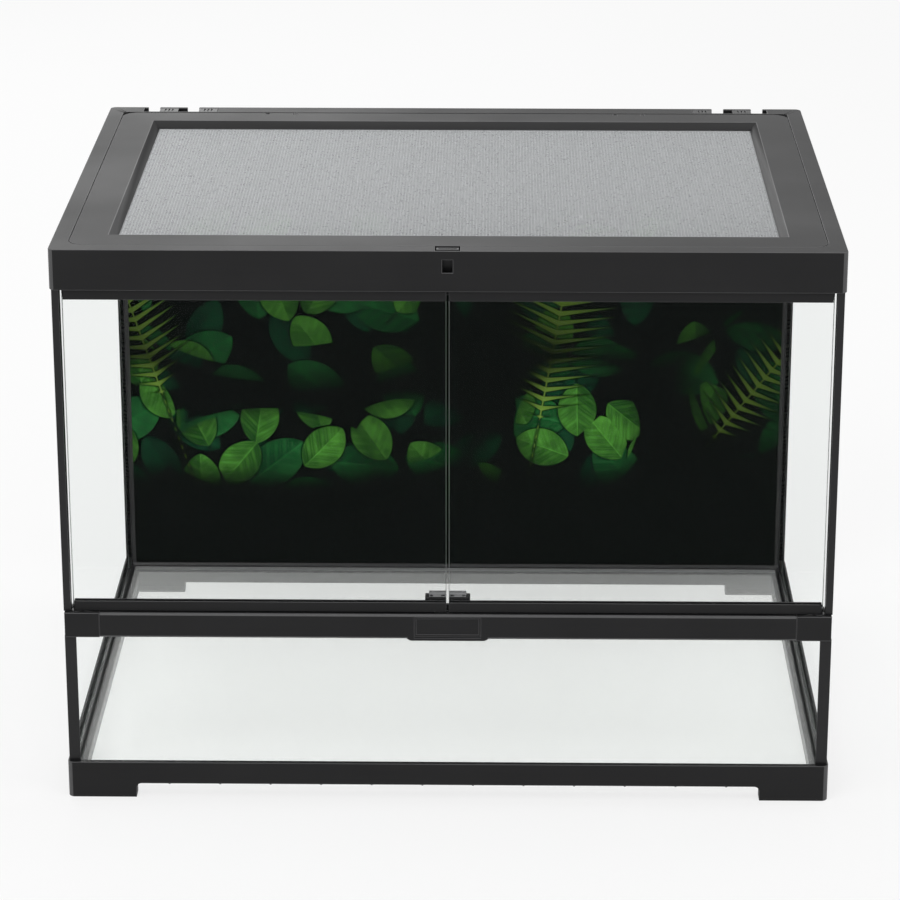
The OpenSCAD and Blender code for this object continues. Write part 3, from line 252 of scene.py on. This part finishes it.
def plastic(name, dark, pale, grain, roughness, shine=0.3):
    """Moulded plastic: cloudy tone, a fine grain in relief, rubbed streaks and uneven gloss."""
    finish = bpy.data.materials.new(name)
    finish.use_nodes = True
    tree = finish.node_tree
    skin = tree.nodes["Principled BSDF"]
    place = node(tree, "TexCoord").outputs["Object"]
    cloud = node(tree, "TexNoise", {"Vector": place, "Scale": 14.0, "Detail": 4.0})
    speck = node(tree, "TexNoise", {"Vector": place, "Scale": grain, "Detail": 2.0})
    rubbed = node(tree, "TexNoise", {
        "Vector": node(tree, "Mapping", {"Vector": place, "Scale": (6, 6, 160)}).outputs[0],
        "Scale": 1.0, "Detail": 3.0,
    })
    blend = node(tree, "Mix", {
        "Factor": 0.45, "A": cloud.outputs["Fac"], "B": speck.outputs["Fac"],
    }).outputs["Result"]
    tone = node(tree, "ValToRGB", {"Fac": blend})
    tone.color_ramp.elements[0].position = 0.3
    tone.color_ramp.elements[0].color = (*dark, 1)
    tone.color_ramp.elements[1].position = 0.72
    tone.color_ramp.elements[1].color = (*pale, 1)
    tree.links.new(tone.outputs["Color"], skin.inputs["Base Color"])
    uneven = math_node(tree, "ADD", math_node(tree, "MULTIPLY", rubbed.outputs["Fac"], 0.6),
                       math_node(tree, "MULTIPLY", speck.outputs["Fac"], 0.4))
    gloss = node(tree, "MapRange", {
        "Value": uneven, "From Min": 0.3, "From Max": 0.7,
        "To Min": roughness[0], "To Max": roughness[1],
    })
    tree.links.new(gloss.outputs["Result"], skin.inputs["Roughness"])
    relief = node(tree, "Bump", {
        "Strength": 0.25, "Distance": 0.06 * mm, "Height": speck.outputs["Fac"],
    })
    tree.links.new(relief.outputs["Normal"], skin.inputs["Normal"])
    skin.inputs["Specular IOR Level"].default_value = shine
    # The paler, shinier edge copy is wear and a painted highlight.
    add_worn_and_highlit_edge(finish, 3.4, 0.8)
    return finish


charcoal = plastic(
    "charcoal_plastic", (0.006, 0.006, 0.0065), (0.011, 0.011, 0.0115), 1900.0, (0.42, 0.6), 0.22,
)
moulding("base_frame", charcoal, 0.4 * mm)


# Glass panes. Clear 4 mm float glass, cut to size, with its edges ground and arrised. The floor pane
# lies on the ledge and carries a faint white haze, a painted reflection of the pale room.
def clear_glass(name, straight, clearness, gleam, roughness, tint, bend=1.0):
    """Glass that lets lamps and a share of the view straight through, and shines by its gleam."""
    finish = bpy.data.materials.new(name)
    finish.use_nodes = True
    tree = finish.node_tree
    skin = tree.nodes["Principled BSDF"]
    skin.inputs["Base Color"].default_value = (*tint, 1)
    skin.inputs["Transmission Weight"].default_value = clearness
    skin.inputs["IOR"].default_value = bend
    skin.inputs["Roughness"].default_value = roughness
    skin.inputs["Coat Weight"].default_value = gleam
    skin.inputs["Coat Roughness"].default_value = roughness
    hole = node(tree, "BsdfTransparent", {"Color": (*tint, 1)})
    share = math_node(tree, "MAXIMUM", node(tree, "LightPath").outputs["Is Shadow Ray"], straight)
    either = node(tree, "MixShader", {0: share, 1: skin.outputs[0], 2: hole.outputs[0]})
    tree.links.new(either.outputs[0], tree.nodes["Material Output"].inputs["Surface"])
    return finish


float_glass = clear_glass("float_glass", 0.94, 1.0, 1.0, 0.0, (0.985, 0.99, 0.9875))
# The floor pane's white diffuse share is a painted reflection of the pale room.
floor_pane_glass = clear_glass("floor_pane_glass", 0.62, 0.35, 0.15, 0.05, (0.975, 0.98, 0.975))
ground_edge = clear_glass("ground_glass_edge", 0.0, 1.0, 0.0, 0.4, (0.80, 0.92, 0.88), 1.45)
arris = 0.35 * mm


def pane(part, finish):
    """Shows a pane with an arris round both of its faces; its edges are ground."""
    low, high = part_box(part)
    size = high - low
    thin = min(range(3), key=lambda axis: size[axis])
    shape = bmesh.new()
    bmesh.ops.create_cube(shape, size=1, matrix=Matrix.LocRotScale((low + high) / 2, None, size))
    bmesh.ops.bevel(
        shape, geom=shape.edges[:], offset=arris, offset_type="OFFSET", affect="EDGES", segments=1,
        profile=0.5, material=-1,
    )
    shape.normal_update()
    for face in shape.faces:
        face.material_index = 0 if abs(face.normal[thin]) > 0.99 else 1
    piece = show(part + "_pane", shape, [finish, ground_edge], body_of[part], 20)
    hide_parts(part)


pane("floor_glass", floor_pane_glass)
for part in ("front_glass", "left_glass", "right_glass", "rear_glass"):
    pane(part, float_glass)

# Sealant. Black silicone run into the inside corners and drawn off with a finger, so each bead is
# hollow. One bead goes round the floor pane, and one stands in each upright corner.
silicone = plastic(
    "black_silicone", (0.006, 0.006, 0.0065), (0.012, 0.012, 0.013), 240.0, (0.28, 0.42), 0.5,
)
bead_width = 3.5 * mm
bead_steps = 5
bead_hollow = 0.93


def verts_of(grown):
    """The new vertices of an extrusion."""
    return [v for v in grown["geom"] if isinstance(v, bmesh.types.BMVert)]


def edges_of(grown):
    """The new edges of an extrusion."""
    return [e for e in grown["geom"] if isinstance(e, bmesh.types.BMEdge)]


def bead_points(width):
    """Points of a hollow bead's section, as distances from its two faces."""
    hollow = [math.radians(90 * step / bead_steps) for step in range(bead_steps + 1)]
    arc = [
        (width * (1 - math.sin(a) * bead_hollow), width * (1 - math.cos(a) * bead_hollow))
        for a in hollow
    ]
    return [(0, 0), (width, 0)] + arc + [(0, width)]


low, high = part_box("floor_sealant")
floor_bead = bmesh.new()
middle = (low + high) / 2
ring = bmesh.ops.create_grid(floor_bead, x_segments=1, y_segments=1, size=1)["verts"]
rim = list(dict.fromkeys(edge for v in ring for edge in v.link_edges))
bmesh.ops.delete(floor_bead, geom=floor_bead.faces[:], context="FACES_ONLY")
section = bead_points(bead_width)
for inset, rise in section + section[:1]:
    for v in ring:
        v.co = (
            math.copysign(high.x - inset, v.co.x),
            middle.y + math.copysign((high.y - low.y) / 2 - inset, v.co.y),
            low.z + rise,
        )
    grown = bmesh.ops.extrude_edge_only(floor_bead, edges=rim)
    ring = verts_of(grown)
    rim = edges_of(grown)
bmesh.ops.delete(floor_bead, geom=ring, context="VERTS")
bmesh.ops.remove_doubles(floor_bead, verts=floor_bead.verts, dist=1e-7)
bmesh.ops.recalc_face_normals(floor_bead, faces=floor_bead.faces)
floor_seal = show("floor_bead", floor_bead, [silicone], "tank", 30)
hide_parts("floor_sealant")

low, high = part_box("corner_sealant")
sill_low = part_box("sill_end_left")[0].z
upright_beads = bmesh.new()
for sx in (-1, 1):
    for y, sy, top in ((low.y, -1, sill_low), (high.y, 1, high.z)):
        section = [
            upright_beads.verts.new((sx * (high.x - along), y - sy * across, low.z))
            for along, across in bead_points(bead_width)
        ]
        foot = upright_beads.faces.new(section)
        grown = bmesh.ops.extrude_face_region(upright_beads, geom=[foot], use_keep_orig=True)
        bmesh.ops.translate(upright_beads, vec=(0, 0, top - low.z), verts=verts_of(grown))
bmesh.ops.recalc_face_normals(upright_beads, faces=upright_beads.faces)
corner_seal = show("upright_beads", upright_beads, [silicone], "tank", 30)
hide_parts("corner_sealant")

# Edge trims. Thin black extrusions: channels over the side panes' front edges, and angles over the
# upright corners below the sill and at the back.
extrusion = plastic(
    "black_extrusion", (0.006, 0.006, 0.0065), (0.011, 0.011, 0.012), 700.0, (0.3, 0.42), 0.3,
)
for side in ("left", "right"):
    moulding("edge_trim_" + side, extrusion, 0.2 * mm)
    moulding("front_corner_trim_" + side, extrusion, 0.2 * mm)
    moulding("rear_corner_trim_" + side, extrusion, 0.2 * mm)

# Sill. A hollow charcoal moulding between two end blocks, with the air ways and the slotted grille
# behind the doors, and black acetal bushes for the doors' pins.
moulding("sill_rail", charcoal, 0.3 * mm)
for side in ("left", "right"):
    moulding("sill_end_" + side, charcoal, 0.3 * mm)
moulding("vent_grille", charcoal, 0.2 * mm)
acetal = plastic(
    "black_acetal", (0.008, 0.008, 0.008), (0.013, 0.013, 0.014), 1200.0, (0.25, 0.38), 0.5,
)
moulding("hinge_bushes", acetal, 0.15 * mm)

# Lock. A blank flap closes its pocket in the sill. Behind it are the grooved thumb wheel and the flat
# steel bolt that the wheel's ramp lifts into both doors.
moulding("lock_flap", charcoal, 0.25 * mm)
fitting = plastic("black_fitting", (0.008, 0.008, 0.0085), (0.014, 0.014, 0.015), 1500.0, (0.34, 0.5))
moulding("lock_wheel", fitting, 0.2 * mm)


def steel(name, tone, roughness, stretch, grain=1.0):
    """Stainless steel with fine lines along one way and a few duller patches."""
    finish = bpy.data.materials.new(name)
    finish.use_nodes = True
    tree = finish.node_tree
    skin = tree.nodes["Principled BSDF"]
    skin.inputs["Metallic"].default_value = 1.0
    place = node(tree, "TexCoord").outputs["Object"]
    lines = node(tree, "TexNoise", {
        "Vector": node(tree, "Mapping", {"Vector": place, "Scale": stretch}).outputs[0],
        "Scale": grain, "Detail": 3.0,
    })
    shade = node(tree, "ValToRGB", {"Fac": lines.outputs["Fac"]})
    shade.color_ramp.elements[0].position = 0.3
    shade.color_ramp.elements[0].color = (*[0.82 * c for c in tone], 1)
    shade.color_ramp.elements[1].position = 0.7
    shade.color_ramp.elements[1].color = (*tone, 1)
    tree.links.new(shade.outputs["Color"], skin.inputs["Base Color"])
    dull = node(tree, "MapRange", {
        "Value": lines.outputs["Fac"], "From Min": 0.3, "From Max": 0.7,
        "To Min": roughness[0], "To Max": roughness[1],
    })
    tree.links.new(dull.outputs["Result"], skin.inputs["Roughness"])
    relief = node(tree, "Bump", {
        "Strength": 0.2, "Distance": 0.02 * mm, "Height": lines.outputs["Fac"],
    })
    tree.links.new(relief.outputs["Normal"], skin.inputs["Normal"])
    # The paler, shinier edge copy is wear and a painted highlight.
    add_worn_and_highlit_edge(finish, 1.15, 0.5)
    return finish


bright_steel = steel("bright_steel", (0.56, 0.57, 0.58), (0.18, 0.34), (300, 300, 2600))
moulding("lock_bolt", bright_steel, 0.25 * mm)

# Doors. Each is a pane held in a channel strip at its foot and its head, turning on steel pins. On the
# inside of the free lower corner sits a stepped catch block: a black foot, and over it a step of grey
# zinc with two small pockets in its front, their insides painted black as shade.
zinc = steel("grey_zinc", (0.24, 0.24, 0.245), (0.42, 0.55), (900, 900, 900))
catch_foot = 3.05 * mm
pocket_spans = ((3.7 * mm, 6.1 * mm), (12.4 * mm, 15.4 * mm))
pocket_low, pocket_high, pocket_depth = 0.35 * mm, 1.55 * mm, 0.8 * mm


def front_above(block, height):
    """The faces of a block that look forward and stand above a height."""
    return [f for f in block.faces if f.normal.y < -0.99 and f.calc_center_median().z > height]


def sink_pocket(block, xs, zs, height):
    """Sinks a square pocket, between two xs and two zs, into a block's front above a height, its inside
    painted black as shade.
    """
    for axis, cuts in ((0, xs), (2, zs)):
        normal = [float(axis == way) for way in range(3)]
        for cut in cuts:
            front = front_above(block, height)
            around = dict.fromkeys(part for f in front for part in (f, *f.edges, *f.verts))
            spot = [cut * way for way in normal]
            bmesh.ops.bisect_plane(block, geom=list(around), dist=1e-6, plane_co=spot, plane_no=normal)
    cell = [
        f
        for f in front_above(block, zs[0])
        if xs[0] < f.calc_center_median().x < xs[1] and f.calc_center_median().z < zs[1]
    ]
    sunk = verts_of(bmesh.ops.extrude_face_region(block, geom=cell))
    bmesh.ops.delete(block, geom=cell, context="FACES_ONLY")
    bmesh.ops.translate(block, vec=(0, pocket_depth, 0), verts=sunk)
    # The pocket's walls and floor take the black finish: painted shade.
    for v in sunk:
        for face in v.link_faces:
            face.material_index = 0


for side in ("left", "right"):
    pane("door_glass_" + side, float_glass)
    strip, keeper = "door_bottom_strip_" + side, "bolt_keeper_" + side
    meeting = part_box(keeper)[0 if side == "left" else 1].x
    moulding(strip, charcoal, 0.25 * mm, keeper, seam=meeting)
    moulding("door_top_strip_" + side, charcoal, 0.25 * mm)
    moulding("door_pins_" + side, bright_steel, 0.2 * mm)
    catch = "door_catch_" + side
    block = merged_copy(catch)
    ease_edges(block, 0.3 * mm)
    low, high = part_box(catch)
    step_height = low.z + catch_foot
    everything = block.verts[:] + block.edges[:] + block.faces[:]
    bmesh.ops.bisect_plane(
        block, geom=everything, dist=1e-6, plane_co=(0, 0, step_height), plane_no=(0, 0, 1),
    )
    for face in block.faces:
        face.material_index = 1 if face.calc_center_median().z > step_height else 0
    outer, inward = (low.x, 1) if side == "left" else (high.x, -1)
    zs = (step_height + pocket_low, step_height + pocket_high)
    for span in pocket_spans:
        sink_pocket(block, sorted(outer + inward * x for x in span), zs, step_height)
    stepped = show(catch + "_block", block, [fitting, zinc], body_of[catch])
    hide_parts(catch)

# Top frame. The same charcoal moulding as the base: rim, lid seat, inlets' tracks and hinge ears, with
# the push latch in its middle, a black rocker on a steel pin with a bent leaf spring behind it.
moulding("top_frame", charcoal, 0.4 * mm)
moulding("latch_rocker", fitting, 0.25 * mm)
moulding("latch_spring", bright_steel, 0.05 * mm)
for part in ("latch_pin", "lid_hinge_pins"):
    moulding(part, bright_steel, 0.2 * mm)
for gate in ("left_outer", "left_inner", "right_inner", "right_outer"):
    moulding("inlet_gate_" + gate, fitting, 0.25 * mm)

# Lid. A charcoal frame bevelled down to a panel of woven stainless wire, which a flat frame and twelve
# cross-recess screws clamp from below.
moulding("lid_frame", charcoal, 0.35 * mm)
moulding("mesh_clamp_frame", charcoal, 0.25 * mm)
wire_steel = steel("woven_wire", (0.50, 0.51, 0.52), (0.25, 0.4), (500, 500, 500))
low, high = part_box("lid_mesh")
wire_radius = 0.25 * mm
wire_pitch = 2.5 * mm
middle = (low + high) / 2
weave = bmesh.new()
for across, along, height in ((0, 1, low.z + wire_radius), (1, 0, high.z - wire_radius)):
    count = int((high[across] - low[across] - 2 * wire_radius) / wire_pitch) + 1
    length = high[along] - low[along]
    turn = Vector((0, 0, 1)).rotation_difference(Vector([float(axis == along) for axis in range(3)]))
    for i in range(count):
        centre = middle.copy()
        centre[across] += (i - (count - 1) / 2) * wire_pitch
        centre.z = height
        bmesh.ops.create_cone(
            weave, cap_ends=True, segments=6, radius1=wire_radius, radius2=wire_radius, depth=length,
            matrix=Matrix.LocRotScale(centre, turn, None),
        )
wires = show("lid_wire_mesh", weave, [wire_steel], "lid", 70)
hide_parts("lid_mesh")


# A screw head's rounded side, as shares of its radius and height, and its recess's taper and floor
head_steps = ((1.0, 0.55), (0.86, 0.88), (0.66, 1.0))
cross_taper, cross_floor = 0.6, 0.45


def add_screw(shape, centre, head_radius, head_height, shank_radius, shank_length):
    """Adds a cross-recess pan-head screw that points up, its head below the given point."""
    made = []
    ring = bmesh.ops.create_circle(shape, cap_ends=False, segments=20, radius=head_radius)["verts"]
    made += ring
    edges = list(dict.fromkeys(edge for v in ring for edge in v.link_edges))
    for share, drop in head_steps:
        grown = bmesh.ops.extrude_edge_only(shape, edges=edges)
        rim = verts_of(grown)
        edges = edges_of(grown)
        for v in rim:
            flat = Vector((v.co.x, v.co.y, 0)).normalized() * head_radius * share
            v.co = (flat.x, flat.y, -head_height * drop)
        made += rim
    slot_half, slot_reach = head_radius * 0.11, head_radius * 0.46
    plus = [(slot_half, slot_reach), (slot_half, slot_half), (slot_reach, slot_half)]
    corners = []
    for quarter in range(4):
        turned = Matrix.Rotation(-math.pi / 2 * quarter, 2)
        corners += [turned @ Vector(p) for p in plus]
    cross = [shape.verts.new((p.x, p.y, -head_height)) for p in corners]
    cross_edges = [shape.edges.new((cross[i - 1], cross[i])) for i in range(len(cross))]
    made += cross
    bmesh.ops.triangle_fill(shape, use_beauty=True, edges=edges + cross_edges)
    sunk = bmesh.ops.extrude_edge_only(shape, edges=cross_edges)
    floor_ring = verts_of(sunk)
    for v in floor_ring:
        v.co = (v.co.x * cross_taper, v.co.y * cross_taper, -head_height * cross_floor)
    made += floor_ring
    bmesh.ops.edgeloop_fill(shape, edges=edges_of(sunk))
    foot = dict.fromkeys(
        edge for v in ring for edge in v.link_edges if all(w in ring for w in edge.verts)
    )
    collar = bmesh.ops.extrude_edge_only(shape, edges=list(foot))
    inner = verts_of(collar)
    for v in inner:
        flat = Vector((v.co.x, v.co.y, 0)).normalized() * shank_radius
        v.co = (flat.x, flat.y, 0)
    shank = bmesh.ops.extrude_edge_only(shape, edges=edges_of(collar))
    tip = verts_of(shank)
    bmesh.ops.translate(shape, vec=(0, 0, shank_length), verts=tip)
    bmesh.ops.edgeloop_fill(shape, edges=edges_of(shank))
    made += inner + tip
    bmesh.ops.translate(shape, vec=centre, verts=list(dict.fromkeys(made)))


def screw_row(name, part, places, head_radius, head_height, shank_radius, shank_length):
    """Shows a row of screws in place of a CAD part's plain ones."""
    shape = bmesh.new()
    for place in places:
        add_screw(shape, place, head_radius, head_height, shank_radius, shank_length)
    bmesh.ops.remove_doubles(shape, verts=shape.verts, dist=1e-7)
    bmesh.ops.recalc_face_normals(shape, faces=shape.faces)
    piece = show(name, shape, [bright_steel], body_of[part], 35)
    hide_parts(part)


low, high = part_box("lid_screws")
clamp_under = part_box("mesh_clamp_frame")[0].z
head = 2.3 * mm
reach_x, reach_y = high.x - head, (high.y - low.y) / 2 - head
middle_y = (low.y + high.y) / 2
pitch_x = 2 * reach_x / 3.3
lid_places = [
    Vector((i * pitch_x, middle_y + s * reach_y, clamp_under))
    for i in (-1.5, -0.5, 0.5, 1.5)
    for s in (-1, 1)
]
lid_places += [
    Vector((s * reach_x, middle_y + j * reach_y, clamp_under))
    for s in (-1, 1)
    for j in (-0.5, 0.5)
]
shank_length = high.z - clamp_under
screw_row("lid_clamp_screws", "lid_screws", lid_places, head, 1.4 * mm, 1.25 * mm, shank_length)

# Swing bracket. A plate screwed up under the rear rim, three black arms on steel pins, and an open ring
# clip for a nozzle or a probe.
moulding("bracket_plate", fitting, 0.3 * mm)
low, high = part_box("bracket_screws")
plate_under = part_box("bracket_plate")[0].z
head = (high.y - low.y) / 2
plate_places = [Vector((x, (low.y + high.y) / 2, plate_under)) for x in (low.x + head, high.x - head)]
shank_length = high.z - plate_under
screw_row("bracket_plate_screws", "bracket_screws", plate_places, head, 1.6 * mm, 1.5 * mm, shank_length)
for part in ("arm_upper", "arm_middle", "arm_lower", "nozzle_clip"):
    moulding(part, fitting, 0.25 * mm)
for part in ("upper_elbow_pin", "lower_elbow_pin"):
    moulding(part, bright_steel, 0.15 * mm)

# Background card. Matt card against the rear pane, printed near black. Broad veined leaves and fern
# fronds come out of the dark in patches over its middle, and its foot is bare.
card_print = bpy.data.materials.new("printed_foliage")
card_print.use_nodes = True
tree = card_print.node_tree
ink = tree.nodes["Principled BSDF"]
upright = node(tree, "Mapping", {
    "Vector": node(tree, "TexCoord").outputs["Object"], "Rotation": (-math.pi / 2, 0, 0),
}).outputs[0]
spot = node(tree, "SeparateXYZ", {"Vector": upright}).outputs
flat_place = node(tree, "CombineXYZ", {"X": spot["X"], "Y": spot["Y"], "Z": 0.0}).outputs[0]


def ramped(value, low, high, out_low=0.0, out_high=1.0):
    """A value carried smoothly from one range to another and held there."""
    return node(tree, "MapRange", {
        "Value": value, "From Min": low, "From Max": high, "To Min": out_low, "To Max": out_high,
    }, interpolation_type="SMOOTHSTEP").outputs["Result"]


def mix_colours(share, first, second):
    """A colour between two, by a share from 0 to 1."""
    return node(tree, "Mix", {0: share, 6: first, 7: second}, data_type="RGBA").outputs[2]


def vector_math(operation, a, b):
    """The result of one sum on two vectors."""
    return node(tree, "VectorMath", {0: a, 1: b}, operation=operation).outputs[0]


def turned_axes(place, angle):
    """The axes of a flat place turned by an angle."""
    turned = node(tree, "VectorRotate", {"Vector": place, "Angle": angle}, rotation_type="Z_AXIS")
    return node(tree, "SeparateXYZ", {"Vector": turned.outputs[0]}).outputs


def leaf_layer(scale, shift, half_width, veins, turn):
    """A layer of scattered broad leaves: their cover, shadow and tone, and a random number for each."""
    moved = node(tree, "Mapping", {"Vector": flat_place, "Location": shift}).outputs[0]
    cells = node(tree, "TexVoronoi", {"Vector": moved, "Scale": scale, "Randomness": 0.85},
                 voronoi_dimensions="2D", feature="F1")
    dice = node(tree, "SeparateColor", {"Color": cells.outputs["Color"]}).outputs
    away = vector_math("SUBTRACT", moved, cells.outputs["Position"])
    grown = node(tree, "VectorMath", {0: away, "Scale": scale}, operation="SCALE").outputs[0]
    angle = math_node(tree, "MULTIPLY", math_node(tree, "SUBTRACT", dice["Red"], 0.5), turn)
    axis = turned_axes(grown, angle)
    along = math_node(tree, "DIVIDE", axis["Y"], 0.47)
    aside = math_node(tree, "ABSOLUTE", axis["X"])
    taper = math_node(tree, "SUBTRACT", 1.0, math_node(tree, "MULTIPLY", along, along), clamp=True)
    blade = math_node(tree, "MULTIPLY", math_node(tree, "POWER", taper, 0.7), half_width)
    inside = math_node(tree, "SUBTRACT", blade, aside)
    cover = ramped(inside, 0.0, 0.008)
    shadow = ramped(inside, -0.06, 0.0, 0.0, 0.8)
    rib = math_node(tree, "SUBTRACT", math_node(tree, "MULTIPLY", axis["Y"], veins),
                    math_node(tree, "MULTIPLY", aside, veins * 0.8))
    wave = math_node(tree, "PINGPONG", rib, 0.5)
    puffed = ramped(wave, 0.0, 0.4, 0.3, 0.0)
    side_rib = ramped(wave, 0.44, 0.48, 0.0, 0.35)
    midrib = ramped(aside, 0.003, 0.012, 0.6, 0.0)
    lit_half = ramped(axis["X"], -0.012, 0.012, 0.0, 0.26)
    lit_tip = ramped(along, -1.0, 1.0, 0.0, 0.2)
    tone = math_node(tree, "MULTIPLY", dice["Green"], 0.28)
    for share in (midrib, side_rib, puffed, lit_half, lit_tip):
        tone = math_node(tree, "ADD", tone, share)
    blotches = node(tree, "TexNoise", {"Vector": moved, "Scale": 70.0, "Detail": 4.0}).outputs["Fac"]
    tone = math_node(tree, "MULTIPLY", tone, ramped(blotches, 0.32, 0.68, 0.55, 1.15))
    return cover, shadow, tone, dice["Blue"]


leaflet_pitch = 9 * mm
leaflet_half = 2.4 * mm


def fern_frond(foot, lean, length, reach):
    """Cover, shadow and tone of one fern frond: leaflets slanting up on both sides of a stem."""
    axis = turned_axes(vector_math("SUBTRACT", flat_place, (*foot, 0)), lean)
    along = math_node(tree, "DIVIDE", axis["Y"], length)
    swell = math_node(tree, "MULTIPLY", along, math_node(tree, "SUBTRACT", 1.0, along), clamp=True)
    full = math_node(tree, "POWER", math_node(tree, "MULTIPLY", swell, 4.0), 0.7)
    span = math_node(tree, "MULTIPLY", full, reach)
    aside = math_node(tree, "ABSOLUTE", axis["X"])
    share = math_node(tree, "DIVIDE", aside, math_node(tree, "MAXIMUM", span, 0.5 * mm))
    slant = math_node(tree, "SUBTRACT", axis["Y"], math_node(tree, "MULTIPLY", aside, 0.3))
    wave = math_node(tree, "PINGPONG", slant, leaflet_pitch / 2)
    leaflet = math_node(tree, "MULTIPLY", math_node(tree, "SUBTRACT", 1.0, share), leaflet_half)
    stem = math_node(tree, "SUBTRACT", 0.7 * mm, aside)
    stalk = math_node(tree, "MINIMUM", stem, math_node(tree, "MULTIPLY", swell, 20 * mm))
    edge = math_node(tree, "MAXIMUM", math_node(tree, "SUBTRACT", leaflet, wave), stalk)
    tone = ramped(share, 0.0, 1.0, 1.0, 0.25)
    return ramped(edge, 0.0, 0.3 * mm), ramped(edge, -2.5 * mm, 0.0, 0.0, 0.75), tone


# The print's light: patches of it, each a middle across and up the card, its reach and its strength
crown = 0.0
for x, z, reach_x, reach_z, strength in [
    (-165, 135, 120, 52, 1.0), (-282, 165, 52, 70, 0.75), (-45, 150, 70, 46, 0.55),
    (112, 158, 74, 74, 1.0), (45, 128, 36, 34, 0.3), (262, 196, 70, 84, 0.3),
    (-150, 285, 210, 105, 0.5), (150, 300, 150, 90, 0.38),
]:
    away = vector_math("SUBTRACT", flat_place, (x * mm, z * mm, 0))
    scaled = vector_math("DIVIDE", away, (reach_x * mm, reach_z * mm, 1))
    radius = node(tree, "VectorMath", {0: scaled}, operation="LENGTH").outputs["Value"]
    crown = math_node(tree, "MAXIMUM", crown, ramped(radius, 1.0, 0.45, 0.0, strength))
foot_fade = ramped(spot["Y"], 98 * mm, 135 * mm)
light = math_node(tree, "MULTIPLY", crown, foot_fade)
ground = (0.0006, 0.0016, 0.0011, 1)
printed = ground


def print_over(below, cover, shadow, tone, dark, pale):
    """Prints a layer with its shadows over what is there, in its own greens and by the print's light."""
    leaf = mix_colours(math_node(tree, "MINIMUM", tone, 1.0), (*dark, 1), (*pale, 1))
    shaded = mix_colours(shadow, below, ground)
    return mix_colours(cover, shaded, mix_colours(light, ground, leaf))


for scale, shift, half_width, veins, turn, dark, pale, share in [
    (17.0, (0.31, 0.12, 0), 0.26, 8.0, 6.28, (0.001, 0.012, 0.006), (0.008, 0.075, 0.028), 0.4),
    (15.0, (0.07, 0.55, 0), 0.30, 7.0, 3.6, (0.001, 0.022, 0.007), (0.024, 0.19, 0.042), 0.42),
    (19.0, (0.83, 0.21, 0), 0.33, 6.0, 6.28, (0.003, 0.035, 0.007), (0.095, 0.34, 0.04), 0.6),
]:
    cover, shadow, tone, pick = leaf_layer(scale, shift, half_width, veins, turn)
    crowd = math_node(tree, "ADD", crown, math_node(tree, "MULTIPLY", pick, 0.5))
    kept = math_node(tree, "GREATER_THAN", crowd, share)
    cover = math_node(tree, "MULTIPLY", cover, kept)
    shadow = math_node(tree, "MULTIPLY", shadow, kept)
    printed = print_over(printed, cover, shadow, tone, dark, pale)
for foot, lean, length, reach in [
    ((76 * mm, 168 * mm), math.radians(10), 205 * mm, 52 * mm),
    ((-262 * mm, 190 * mm), math.radians(-18), 150 * mm, 40 * mm),
    ((232 * mm, 150 * mm), math.radians(38), 140 * mm, 34 * mm),
]:
    cover, shadow, tone = fern_frond(foot, lean, length, reach)
    printed = print_over(printed, cover, shadow, tone, (0.012, 0.075, 0.008), (0.19, 0.33, 0.045))
tree.links.new(printed, ink.inputs["Base Color"])
fibre = node(tree, "TexNoise", {"Vector": upright, "Scale": 900.0, "Detail": 3.0})
matt = node(tree, "MapRange", {"Value": fibre.outputs["Fac"], "To Min": 0.55, "To Max": 0.72})
tree.links.new(matt.outputs["Result"], ink.inputs["Roughness"])
tooth = node(tree, "Bump", {"Strength": 0.15, "Distance": 0.03 * mm, "Height": fibre.outputs["Fac"]})
tree.links.new(tooth.outputs["Normal"], ink.inputs["Normal"])
ink.inputs["Specular IOR Level"].default_value = 0.02
card = merged_copy("background_card")
ease_edges(card, 0.15 * mm)
cut_edge = plastic(
    "cut_board_edge", (0.012, 0.012, 0.011), (0.022, 0.022, 0.02), 1400.0, (0.7, 0.85), 0.1,
)
backdrop = show("background_card_moulding", card, [card_print, cut_edge], "tank")
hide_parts("background_card")

# Every part that no piece above stands for keeps its own mesh, with the finish of its slot
slot_finish = {
    "frame_plastic": charcoal, "trim_plastic": extrusion, "fitting_plastic": fitting,
    "clear_glass": float_glass, "sealant": silicone, "bright_steel": bright_steel,
    "wire_mesh": wire_steel, "printed_card": card_print,
}
for part, solid in frame["nodes"].items():
    solid.data.materials.clear()
    solid.data.materials.append(slot_finish[slot_of[part]])
